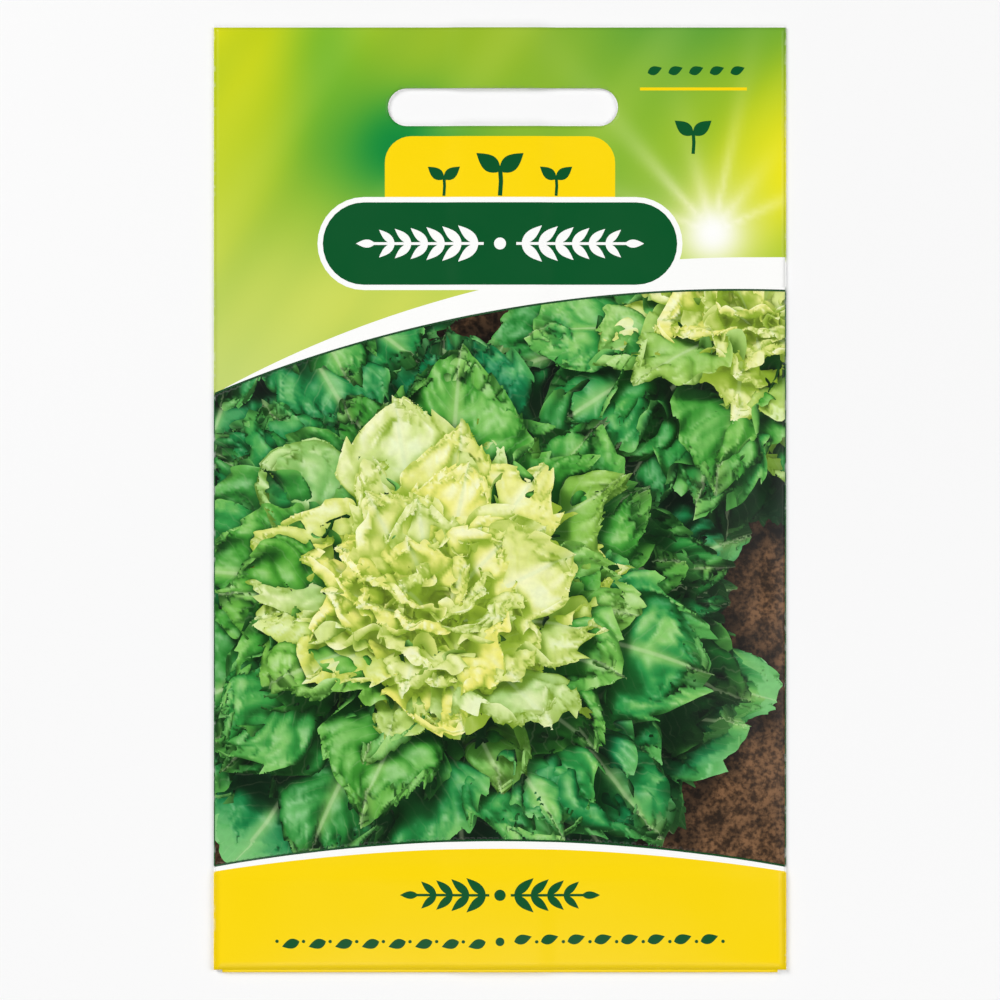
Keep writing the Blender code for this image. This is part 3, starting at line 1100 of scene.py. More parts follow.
@dataclass
class LeafBed:
    """Leafy heads on dark soil, modelled once, drawn into the print and then dropped."""

    heads: tuple[Head, ...]
    elevation: float = math.radians(64.0)
    sun_heading: tuple[float, float, float] = (-0.42, 0.50, 0.76)
    sky_rays: int = 14
    sun_rays: int = 5
    sun_spread: float = 0.09
    sky_reach: float = 16.0
    unseen_depth: float = 2.0
    ground_pitch: float = 2.5
    golden: float = math.pi * (3 - math.sqrt(5))

    def ground(self) -> Grid:
        """Crumbly soil under the heads, as one more grid of points.

        Returns:
            Its points, and the same facts as for a leaf.
        """
        x, y = np.meshgrid(
            np.arange(-70.0, 71.0, self.ground_pitch), np.arange(-110.0, 111.0, self.ground_pitch)
        )
        lumps = np.sin(0.9 * x + 1.3 * np.sin(0.7 * y)) * np.sin(1.1 * y + 1.1 * np.sin(0.8 * x))
        flat = np.zeros_like(x)
        return {
            "x": x, "y": y, "z": 0.9 * lumps - 1.0, "along": flat, "across": flat,
            "rib": flat, "age": flat, "tint": lumps, "edge": flat,
        }

    def grids(self) -> list[Grid]:
        """The soil and every leaf of every head.

        Returns:
            Their grids, the soil's first.
        """
        grids = [self.ground()]
        for head in self.heads:
            draw = np.random.default_rng(head.seed)
            for i in range(head.leaves):
                age = (i + 0.5) / head.leaves
                turn = head.turn + i * self.golden + draw.uniform(-0.22, 0.22)
                grids.append(Leaf.grown(head, age, turn, draw).grid())
        return grids

    def project(self, grid: Grid) -> tuple[Array, Array]:
        """Turns a grid so that the picture's X and Y are its first two axes.

        Args:
            grid: points in the bed.

        Returns:
            The turned points, with their height toward the viewer, and their normals.
        """
        sine, cosine = math.sin(self.elevation), math.cos(self.elevation)
        seen = np.stack([
            grid["x"],
            grid["z"] * cosine + grid["y"] * sine,
            grid["z"] * sine - grid["y"] * cosine,
        ], axis=-1)
        down, right = np.gradient(seen, axis=0), np.gradient(seen, axis=1)
        normal = np.cross(right, down)
        normal /= np.linalg.norm(normal, axis=-1, keepdims=True) + 1e-9
        return seen, normal

    def grow(self) -> None:
        """Builds every grid, joins them in one tree for casting rays, and lights them."""
        grids = self.grids()
        points, normals, faces, owner, shapes, start = [], [], [], [], [], 0
        for number, grid in enumerate(grids):
            seen, normal = self.project(grid)
            rows, sides = grid["x"].shape
            index = start + np.arange(rows * sides).reshape(rows, sides)
            a, b, c, d = index[:-1, :-1], index[:-1, 1:], index[1:, 1:], index[1:, :-1]
            halves = [np.stack(corners, axis=-1).reshape(-1, 3) for corners in ((a, b, c), (a, c, d))]
            faces += halves
            owner.append(np.full(2 * len(halves[0]), number))
            points.append(seen.reshape(-1, 3))
            normals.append(normal.reshape(-1, 3))
            shapes.append((start, rows, sides))
            start += rows * sides
        self.points = np.concatenate(points)
        self.normals = np.concatenate(normals)
        self.faces = np.concatenate(faces)
        self.owner = np.concatenate(owner)
        self.facts = {
            key: np.concatenate([grid[key].ravel() for grid in grids])
            for key in ("along", "across", "rib", "age", "tint", "edge")
        }
        self.tree = BVHTree.FromPolygons(self.points.tolist(), self.faces.tolist(), all_triangles=True)
        self.light(shapes)

    def light(self, shapes: list[tuple[int, int, int]]) -> None:
        """Finds how much sky and sun each point gets, softened along its own leaf.

        Args:
            shapes: for each grid, its first point, its rows and its sides.
        """
        draw = np.random.default_rng(4)
        toward = np.where(self.normals[:, 2:] < 0, -self.normals, self.normals)
        starts = self.points + toward * 0.3 + [0.0, 0.0, 0.25]
        seen = self.cast(self.points[:, :2])[1]
        shown = np.flatnonzero(seen - self.points[:, 2] < self.unseen_depth)
        sky, sun = np.full(len(self.points), 0.35), np.full(len(self.points), 0.2)
        count, spread = self.sky_rays, self.sun_spread
        fan = [(math.sqrt((k + 0.5) / count), k * self.golden) for k in range(count)]
        for i in shown.tolist():
            origin = starts[i].tolist()
            swing = draw.uniform(0, 2 * math.pi)
            clear = 0
            for reach, turn in fan:
                flat_x, flat_y = reach * math.cos(turn + swing), reach * math.sin(turn + swing)
                heading = (flat_x, flat_y + 0.25, math.sqrt(1.0 - reach * reach) + 0.15)
                clear += self.tree.ray_cast(origin, heading, self.sky_reach)[0] is None
            sky[i] = clear / count
            lit = 0
            for heading in draw.uniform(-spread, spread, (self.sun_rays, 3)) + self.sun_heading:
                lit += self.tree.ray_cast(origin, heading.tolist())[0] is None
            sun[i] = lit / self.sun_rays
        for values in (sky, sun):
            for first, rows, sides in shapes:
                grid = values[first:first + rows * sides].reshape(rows, sides)
                padded = np.pad(grid, 1, mode="edge")
                grid[:] = sum(padded[r:r + rows, s:s + sides] for r in range(3) for s in range(3)) / 9
        self.facts["open_sky"], self.facts["sun"] = sky, sun

    def cast(self, places: Array) -> tuple[Array, Array]:
        """Looks straight down on the picture plane.

        Args:
            places: x and y of each look.

        Returns:
            The face that each look meets, and its depth.
        """
        face, depth = np.zeros(len(places), int), np.zeros(len(places))
        for i, (x, y) in enumerate(places.tolist()):
            spot, _, number, _ = self.tree.ray_cast((x, y, 300.0), (0.0, 0.0, -1.0))
            if spot is not None:
                face[i], depth[i] = number, spot[2]
        return face, depth

    def look(self, places: Array) -> Hits:
        """Reads what the picture shows.

        Args:
            places: x and y of each look.

        Returns:
            What is seen there, read between the corners of the face that is met.
        """
        face, depth = self.cast(places)
        corners = self.faces[face]
        flat = self.points[corners][..., :2]
        a, b, c = flat[:, 0], flat[:, 1], flat[:, 2]
        area = turned(b - a, c - a)
        area = np.where(np.abs(area) < 1e-9, 1e-9, area)
        second = np.clip(turned(places - a, c - a) / area, 0.0, 1.0)
        third = np.clip(turned(b - a, places - a) / area, 0.0, 1.0)
        shares = np.stack([np.clip(1.0 - second - third, 0.0, 1.0), second, third], axis=1)
        shares /= shares.sum(axis=1, keepdims=True)
        normal = (self.normals[corners] * shares[..., None]).sum(axis=1)
        facing = np.where(normal[:, 2] < 0, 1, 0)
        normal = np.where(normal[:, 2:] < 0, -normal, normal)
        normal /= np.linalg.norm(normal, axis=1, keepdims=True) + 1e-9
        facts = {key: (values[corners] * shares).sum(axis=1) for key, values in self.facts.items()}
        return Hits(leaf=self.owner[face] * 2 + facing, depth=depth, normal=normal, **facts)


@dataclass(frozen=True)
class LeafTone:
    """One kind of leaf's screen colours: its blade in three lights, its rib and underside."""

    body: Shade
    shade: Shade
    glow: Shade
    rib: Shade
    under: Shade

    def mixed(self, share: Array, other: "LeafTone") -> Grid:
        """Its colours as they run into another kind's.

        Args:
            share: 0 for this kind and 1 for the other, at each place.
            other: the other kind.

        Returns:
            The colours at each place, by name.
        """
        return {
            name: blend(share, screen(*getattr(self, name)), screen(*getattr(other, name)))
            for name in self.__dataclass_fields__
        }


@dataclass(frozen=True)
class LeafPaint:
    """How the leaves and the soil are coloured in the picture, as screen colours."""

    sun: tuple[float, float, float] = (-0.42, 0.50, 0.76)
    gloss: float = 22.0
    heart_end: float = 0.24
    green_start: float = 0.46
    inner: LeafTone = LeafTone((62, 154, 54), (4, 48, 6), (158, 212, 106), (168, 206, 112), (142, 190, 130))
    outer: LeafTone = LeafTone((22, 122, 58), (0, 24, 6), (110, 190, 108), (168, 206, 112), (142, 190, 130))
    heart: LeafTone = LeafTone(
        (226, 230, 128), (132, 166, 38), (254, 254, 206), (250, 250, 212), (248, 248, 190)
    )
    rim: Shade = (146, 204, 92)
    shine: Shade = (226, 244, 220)
    dark_soil: Shade = (12, 8, 4)
    pale_soil: Shade = (98, 70, 46)

    def colours(self, seen: Hits) -> tuple[Array, Array]:
        """Colours for what is seen.

        Args:
            seen: what the picture shows at each place.

        Returns:
            Screen colours, and each place's share of crisp veins.
        """
        sun = np.array(self.sun) / np.linalg.norm(self.sun)
        bisector = sun + [0.0, 0.0, 1.0]
        bisector /= np.linalg.norm(bisector)
        facing = np.clip((seen.normal * sun).sum(axis=1), 0.0, 1.0)
        shine = np.clip((seen.normal * bisector).sum(axis=1), 0.0, 1.0) ** self.gloss
        light = 0.06 + 0.56 * seen.open_sky ** 1.5 + 0.66 * facing * seen.sun
        light = light * (0.86 + 0.14 * seen.normal[:, 2])
        youth = 1.0 - ease(seen.age + 0.05 * seen.tint - 0.05 * seen.edge, self.heart_end, self.green_start)
        tones = self.inner.mixed(ease(seen.age + 0.08 * seen.tint, 0.4, 0.9), self.outer)
        for name, green in tones.items():
            tones[name] = blend(youth, green, screen(*getattr(self.heart, name)))
        warm = (seen.tint * 0.06)[:, None] * np.array([1.0, 0.3, -0.8])
        body = blend(seen.rib * 0.7, tones["body"] + warm, tones["rib"])
        body = blend(0.28 * (seen.leaf % 2 == 0), body, tones["under"])
        body = blend(0.45 * ease(seen.edge, 0.84, 1.0) * (1.0 - youth), body, screen(*self.rim))
        colour = blend(ease(light, 0.06, 0.82 - 0.08 * youth), tones["shade"], body)
        colour = blend(ease(light, 0.70 - 0.04 * youth, 1.26) * 0.9, colour, tones["glow"])
        colour = blend(shine * seen.sun * 0.3, colour, screen(*self.shine))
        closed = 1.0 - ease(seen.open_sky, 0.0, 0.4)
        colour = blend(closed, colour, colour * (0.25 + 0.35 * youth)[:, None])
        crumbs = ease(seen.open_sky + 0.2 * seen.tint, 0.1, 1.1)
        soil = blend(crumbs, screen(*self.dark_soil), screen(*self.pale_soil))
        on_soil = seen.leaf < 2
        veins = ease(seen.along, 2.0, 8.0) * (0.35 + 0.65 * ease(light, 0.2, 0.8))
        return np.where(on_soil[:, None], soil, colour), np.where(on_soil, -1.0, veins)


@dataclass
class LeafPicture:
    """The picture on the face, as points to mesh and colours for their triangles."""

    bed: LeafBed
    paint: LeafPaint
    pitch: float = 0.4
    jump: float = 3.0
    halvings: int = 6
    pull: float = 0.12

    def differ(self, first: Hits, second: Hits) -> Array:
        """Whether pairs of hits lie on different leaves, or on different folds of one."""
        return (first.leaf != second.leaf) | (np.abs(first.depth - second.depth) > self.jump)

    def points(self, low: Sequence[float], high: Sequence[float]) -> Array:
        """A grid over the picture, with more points along the leaves' edges.

        Args:
            low: the lowest x and y.
            high: the highest x and y.

        Returns:
            Places for the mesh's vertices.
        """
        xs = np.arange(low[0], high[0] + self.pitch, self.pitch)
        ys = np.arange(low[1], high[1] + self.pitch, self.pitch)
        flat = crossed(xs, ys)
        seen = self.bed.look(flat)
        number = np.arange(len(flat)).reshape(len(ys), len(xs))
        pairs = np.concatenate([
            np.stack([number[:, :-1].ravel(), number[:, 1:].ravel()], axis=1),
            np.stack([number[:-1].ravel(), number[1:].ravel()], axis=1),
        ])
        split = pairs[self.differ(seen.pick(pairs[:, 0]), seen.pick(pairs[:, 1]))]
        near, far = flat[split[:, 0]].copy(), flat[split[:, 1]].copy()
        base = seen.pick(split[:, 0])
        for _ in range(self.halvings):
            middle = (near + far) / 2
            other = self.differ(base, self.bed.look(middle))[:, None]
            far = np.where(other, middle, far)
            near = np.where(other, near, middle)
        return np.concatenate([flat, (near + far) / 2])

    def dressed(self, places: Array) -> tuple[Hits, Array, Array]:
        """Looks at some places and colours them.

        Args:
            places: x and y of each look.

        Returns:
            What is seen, its screen colours, and its leaf's own coordinates with the share
            of crisp veins.
        """
        seen = self.bed.look(places)
        paint, veins = self.paint.colours(seen)
        return seen, paint, np.stack([seen.along, seen.across, veins], axis=1)

    def corner_colours(self, places: Array, triangles: Array) -> tuple[Array, Array]:
        """Colours for the corners of the picture's triangles.

        Where a triangle crosses a leaf's edge, all its corners take the side of its middle.

        Args:
            places: x and y of every vertex.
            triangles: the three vertices of each triangle.

        Returns:
            A screen colour for each corner, and its leaf's own coordinates with its share
            of crisp veins.
        """
        used, inverse = np.unique(triangles, return_inverse=True)
        seen, paint, blades = self.dressed(places[used])
        inverse = inverse.reshape(-1, 3)
        plain = np.ones(len(triangles), bool)
        for i, j in ((0, 1), (1, 2)):
            plain &= ~self.differ(seen.pick(inverse[:, i]), seen.pick(inverse[:, j]))
        colours, leaves = paint[inverse], blades[inverse]
        mixed = np.flatnonzero(~plain)
        corners = places[triangles[mixed]]
        centre = corners.mean(axis=1, keepdims=True)
        middle, middle_paint, middle_blades = self.dressed(centre[:, 0])
        for k in range(3):
            pulled = corners[:, k] + self.pull * (centre[:, 0] - corners[:, k])
            inner, inner_paint, inner_blades = self.dressed(pulled)
            away = self.differ(middle, inner)[:, None]
            colours[mixed, k] = np.where(away, middle_paint, inner_paint)
            leaves[mixed, k] = np.where(away, middle_blades, inner_blades)
        return colours, leaves


class Ink(Enum):
    """Flat inks of the print, as screen colours."""

    WHITE = (252, 252, 250)
    YELLOW = (252, 217, 2)
    DEEP_GREEN = (0, 84, 38)
    LINE_GREEN = (18, 74, 34)
    FRESH_GREEN = (96, 168, 52)
    LIME = (196, 214, 64)
    ORANGE = (240, 150, 30)
    PALE = (236, 243, 214)
    EARTH = (120, 88, 58)

    @property
    def colour(self) -> Array:
        """The ink's screen colour, 0 to 1."""
        return screen(*self.value)

    def on(self, *outlines: Outline) -> list["Region"]:
        """Regions of this ink, one for each outline."""
        return [Region(outline, self) for outline in outlines]


Wash = Callable[[Array], Array]


@dataclass(frozen=True)
class Region:
    """An outline on the print, and what fills it: an ink, a wash of colour or the picture."""

    outline: Outline
    fill: Ink | LeafPicture | Wash


def box_outline(left: float, low: float, right: float, high: float, radius: float = 0.0) -> Outline:
    """A rectangle with round corners.

    Args:
        left: lowest x.
        low: lowest y.
        right: highest x.
        high: highest y.
        radius: of its corners.

    Returns:
        Points round it.
    """
    if radius <= 0:
        return np.array([[left, low], [right, low], [right, high], [left, high]])
    centres = [(right - radius, high - radius), (left + radius, high - radius),
               (left + radius, low + radius), (right - radius, low + radius)]
    points = []
    for quarter, (x, y) in enumerate(centres):
        turn = math.pi / 2 * (quarter + np.linspace(0.0, 1.0, CORNER_STEPS + 1))
        points.append(np.stack([x + radius * np.cos(turn), y + radius * np.sin(turn)], axis=1))
    return np.concatenate(points)


def leaf_outline(x: float, y: float, length: float, width: float, turn: float) -> Outline:
    """A plain pointed leaf.

    Args:
        x: its stalk's place.
        y: its stalk's place.
        length: from stalk to tip.
        width: across its middle.
        turn: its heading in radians.

    Returns:
        Points round it.
    """
    share = np.linspace(0.0, 1.0, LEAF_STEPS + 1)
    side = width / 2 * np.sin(math.pi * share ** 0.8)
    out = np.stack([share * length, side], axis=1)
    back = np.stack([share[-2:0:-1] * length, -side[-2:0:-1]], axis=1)
    points = np.concatenate([out, back])
    cosine, sine = math.cos(turn), math.sin(turn)
    return points @ np.array([[cosine, sine], [-sine, cosine]]) + [x, y]


def line_outline(points: Array, width: float) -> Outline:
    """A stroke of even width.

    Args:
        points: places along its middle.
        width: from side to side.

    Returns:
        Points round it.
    """
    along = np.gradient(points, axis=0)
    along /= np.linalg.norm(along, axis=1, keepdims=True)
    side = np.stack([-along[:, 1], along[:, 0]], axis=1) * width / 2
    return np.concatenate([points + side, (points - side)[::-1]])


def round_outline(x: float, y: float, radius: float, steps: int = 28) -> Outline:
    """A circle of the given number of points."""
    turn = 2 * math.pi * np.arange(steps) / steps
    return np.stack([x + radius * np.cos(turn), y + radius * np.sin(turn)], axis=1)


def inside(places: Array, outline: Outline) -> Array:
    """Which places lie inside an outline.

    Args:
        places: x and y of each.
        outline: points round it.

    Returns:
        True for each that does.
    """
    low, high = outline.min(axis=0), outline.max(axis=0)
    near = np.flatnonzero(((places >= low) & (places <= high)).all(axis=1))
    x, y = places[near, 0], places[near, 1]
    odd = np.zeros(len(near), bool)
    for (ax, ay), (bx, by) in zip(outline, np.roll(outline, -1, axis=0)):
        if ay != by:
            odd ^= ((ay > y) != (by > y)) & (x < (bx - ax) * (y - ay) / (by - ay) + ax)
    found = np.zeros(len(places), bool)
    found[near[odd]] = True
    return found


def dense(outline: Outline, pitch: float) -> Outline:
    """An outline with more points along its long runs.

    Args:
        outline: points round it.
        pitch: how far apart they are at most.

    Returns:
        The new points.
    """
    runs = []
    for start, end in zip(outline, np.roll(outline, -1, axis=0)):
        count = max(1, math.ceil(float(np.linalg.norm(end - start)) / pitch))
        runs.append(start + (end - start) * (np.arange(count) / count)[:, None])
    return np.concatenate(runs)


def clear_of(places: Array, loops: Sequence[Outline], distance: float) -> Array:
    """The places that keep a distance to every point of some outlines.

    Args:
        places: x and y of each.
        loops: the outlines.
        distance: to keep.

    Returns:
        Those that keep it.
    """
    marks = np.concatenate(loops)
    tree = KDTree(len(marks))
    for number, (x, y) in enumerate(marks.tolist()):
        tree.insert((x, y, 0.0), number)
    tree.balance()
    away = [tree.find((x, y, 0.0))[2] for x, y in places.tolist()]
    return places[np.array(away) > distance]


@dataclass
class PrintFilm:
    """A thin closed layer of ink and varnish on one side of the paper."""

    name: str
    outline: Outline
    holes: tuple[Outline, ...]
    regions: list[Region]
    points: Array
    level: Callable[[Array, Array], Array]
    side: int
    under_points: Array
    paper: float = 0.15
    air: float = 0.004
    thickness: float = 0.018
    line_pitch: float = 0.6
    line_clear: float = 0.32

    def covers(self, places: Array) -> Array:
        """Which places lie inside its outline and in none of its holes.

        Args:
            places: x and y of each.

        Returns:
            True for each that does.
        """
        found = inside(places, self.outline)
        for hole in self.holes:
            found &= ~inside(places, hole)
        return found

    def triangles(self, points: Array, loops: Sequence[Outline]) -> tuple[Array, Array]:
        """Triangles inside the film's outline that keep every loop as edges.

        Args:
            points: loose places inside.
            loops: outlines whose lines become edges.

        Returns:
            The vertices and the triangles.
        """
        places, edges, start = [], [], 0
        for loop in loops:
            number = start + np.arange(len(loop))
            edges += np.stack([number, np.roll(number, -1)], axis=1).tolist()
            places.append(loop)
            start += len(loop)
        places.append(points)
        flat, _, faces, _, _, _ = delaunay_2d_cdt(np.concatenate(places).tolist(), edges, [], 0, 1e-5)
        flat, faces = np.array([tuple(spot) for spot in flat]), np.array(faces)
        kept = faces[self.covers(flat[faces].mean(axis=1))]
        used, inverse = np.unique(kept, return_inverse=True)
        return flat[used], inverse.reshape(-1, 3)

    def border(self, faces: Array) -> Array:
        """The directed edges that only one triangle has.

        Args:
            faces: the triangles.

        Returns:
            The first and last vertex of each edge.
        """
        edges = np.concatenate([faces[:, [0, 1]], faces[:, [1, 2]], faces[:, [2, 0]]])
        count = int(faces.max()) + 1
        forward, back = edges[:, 0] * count + edges[:, 1], edges[:, 1] * count + edges[:, 0]
        return edges[~np.isin(forward, back)]

    def underside(self, rim: Array, edges: Array) -> tuple[Array, Array]:
        """The film's coarse underside, with the same border as its top.

        Args:
            rim: x and y of the border's vertices.
            edges: the border's edges, as numbers of those vertices.

        Returns:
            Its vertices, the rim's first, and its triangles.
        """
        coarse = self.under_points[self.covers(self.under_points)]
        places = np.concatenate([rim, clear_of(coarse, [rim], self.line_clear)])
        _, _, faces, origins, _, _ = delaunay_2d_cdt(places.tolist(), edges.tolist(), [], 0, 1e-7)
        source = np.array([origin[0] for origin in origins])
        faces = source[np.array(faces)]
        return places, faces[self.covers(places[faces].mean(axis=1))]

    def build(self, finish: Material) -> Object:
        """The printed layer.

        Args:
            finish: its material, which reads the inks from the mesh.

        Returns:
            The new object.
        """
        loops = [self.outline, *self.holes, *(region.outline for region in self.regions)]
        loops = [dense(loop, self.line_pitch) for loop in loops]
        loose = self.points[self.covers(self.points)]
        flat, faces = self.triangles(clear_of(loose, loops, self.line_clear), loops)
        border = self.border(faces)
        rim = np.unique(border)
        order = np.zeros(len(flat), int)
        order[rim] = np.arange(len(rim))
        under, under_faces = self.underside(flat[rim], order[border])
        lift = self.side * (self.paper / 2 + self.air)
        top = self.level(flat[:, 0], flat[:, 1]) + lift + self.side * self.thickness
        bottom = self.level(under[:, 0], under[:, 1]) + lift
        points = np.concatenate([np.column_stack([flat, top]), np.column_stack([under, bottom])])
        match = len(flat) + order
        a, b = border[:, 0], border[:, 1]
        walls = [np.stack([b, a, match[a]], axis=1), np.stack([b, match[a], match[b]], axis=1)]
        every = np.concatenate([faces, under_faces[:, ::-1] + len(flat), *walls])
        if self.side < 0:
            every = every[:, ::-1]
        film = mesh_object(self.name, points, every.tolist(), [finish])
        self.ink(film, flat, faces, len(every))
        return film

    def ink(self, film: Object, flat: Array, faces: Array, total: int) -> None:
        """Stores each corner's ink and leaf coordinates on the film.

        Args:
            film: the film's object.
            flat: its top vertices.
            faces: its top triangles, which come first.
            total: how many triangles it has in all.
        """
        centre = flat[faces].mean(axis=1)
        owner = np.full(len(faces), -1)
        for number, region in enumerate(self.regions):
            owner[inside(centre, region.outline)] = number
        colours = np.ones((total, 3, 4))
        blades = np.zeros((total, 3, 3))
        for number, region in enumerate(self.regions):
            mine = np.flatnonzero(owner == number)
            if not len(mine):
                continue
            if isinstance(region.fill, Ink):
                paint = region.fill.colour
            elif isinstance(region.fill, LeafPicture):
                paint, blades[mine] = region.fill.corner_colours(flat, faces[mine])
            else:
                used, inverse = np.unique(faces[mine], return_inverse=True)
                paint = region.fill(flat[used])[inverse.reshape(-1, 3)]
            colours[mine, :, :3] = linear(paint)
        if self.side < 0:
            colours, blades = colours[:, ::-1], blades[:, ::-1]
        store(film, "ink", "CORNER", colours)
        store(film, "blade", "CORNER", blades)


@dataclass(frozen=True)
class Glow:
    """A soft round patch of one colour on a wash."""

    x: float
    y: float
    wide: float
    high: float
    shade: Shade
    power: float

    def over(self, x: Array, y: Array, colour: Array) -> Array:
        """The wash's colours with this patch over them."""
        away = ((x - self.x) / self.wide) ** 2 + ((y - self.y) / self.high) ** 2
        return blend(self.power * np.exp(-away), colour, screen(*self.shade))


@dataclass(frozen=True)
class Beam:
    """A soft beam of light that fans out from the sun on the header."""

    turn: float
    width: float
    reach: float
    fade: float = 1.4

    def over(self, away: Array, heading: Array) -> Array:
        """How bright it is, 0 to 1, at places this far away from the sun and in these headings."""
        swing = np.abs(np.mod(heading - math.radians(self.turn) + math.pi, 2 * math.pi) - math.pi)
        return np.exp(-(swing / math.radians(self.width)) ** 2) * np.exp(-away / self.reach * self.fade)


@dataclass(frozen=True)
class Arc:
    """One of the face's long curves: the top of a large circle."""

    x: float
    y: float
    radius: float

    def points(self, left: float, right: float) -> Array:
        """Its points from left to right, about 1 mm apart."""
        x = np.linspace(left, right, round(right - left) + 1)
        return np.stack([x, self.y - self.radius + np.sqrt(self.radius ** 2 - (x - self.x) ** 2)], axis=1)

    def grown(self, step: float) -> "Arc":
        """The same curve, further out."""
        return Arc(self.x, self.y + step, self.radius + step)


@dataclass(frozen=True)
class Seedling:
    """A plain seedling: a stem and two seed leaves, sized as shares of the whole."""

    size: float
    ink: Ink
    stem: tuple[tuple[float, float], ...] = ((0.0, 0.0), (0.02, 0.3), (0.0, 0.62))
    stem_width: float = 0.09
    leaf_height: float = 0.5
    leaf_length: float = 0.62
    leaf_width: float = 0.34
    leaf_turns: tuple[int, int] = (38, 142)

    def at(self, x: float, y: float) -> list[Region]:
        """One on the print.

        Args:
            x: its stem's foot.
            y: its stem's foot.

        Returns:
            Its outlines.
        """
        size, start = self.size, y + self.leaf_height * self.size
        length, width = self.leaf_length * size, self.leaf_width * size
        stem = line_outline([x, y] + np.array(self.stem) * size, self.stem_width * size)
        leaves = [leaf_outline(x, start, length, width, math.radians(turn)) for turn in self.leaf_turns]
        return self.ink.on(stem, *leaves)


@dataclass(frozen=True)
class Sprig:
    """A stem along X with leaves in pairs, mirrored about its middle."""

    length: float
    pairs: int
    leaf: float
    ink: Ink
    stem_start: float = 0.12
    stem_width: float = 0.1
    stem_steps: int = 14
    first_pair: float = 0.16
    pair_span: float = 0.74
    shrink: float = 0.28
    slope: float = math.radians(42)
    leaf_width: float = 0.36
    tip_place: float = 0.92
    tip_length: float = 0.7
    tip_width: float = 0.3
    knot: float = 0.22

    def half(self, x: float, y: float, side: int) -> list[Outline]:
        """One half: its stem, its pairs of leaves and the leaf at its end.

        Args:
            x: the sprig's middle.
            y: the sprig's middle.
            side: -1 for the left half and 1 for the right one.

        Returns:
            Its outlines.
        """
        reach, start = self.length / 2, 0.0 if side > 0 else math.pi
        run = np.linspace(self.stem_start * reach, reach, self.stem_steps)
        run = np.stack([run, np.zeros(self.stem_steps)], axis=1)
        made = [line_outline(run * [side, 1] + [x, y], self.stem_width * self.leaf)]
        for i in range(self.pairs):
            place = x + side * reach * (self.first_pair + self.pair_span * i / self.pairs)
            grown = self.leaf * (1.0 - self.shrink * i / self.pairs)
            for slope in (-self.slope, self.slope):
                turn = start + side * slope
                made.append(leaf_outline(place, y, grown, self.leaf_width * grown, turn))
        tip = x + side * reach * self.tip_place
        made.append(leaf_outline(tip, y, self.leaf * self.tip_length, self.tip_width * self.leaf, start))
        return made

    def at(self, x: float, y: float) -> list[Region]:
        """The outlines of one whose middle is at this place on the print."""
        knot = round_outline(x, y, self.knot * self.leaf)
        return self.ink.on(*self.half(x, y, -1), *self.half(x, y, 1), knot)


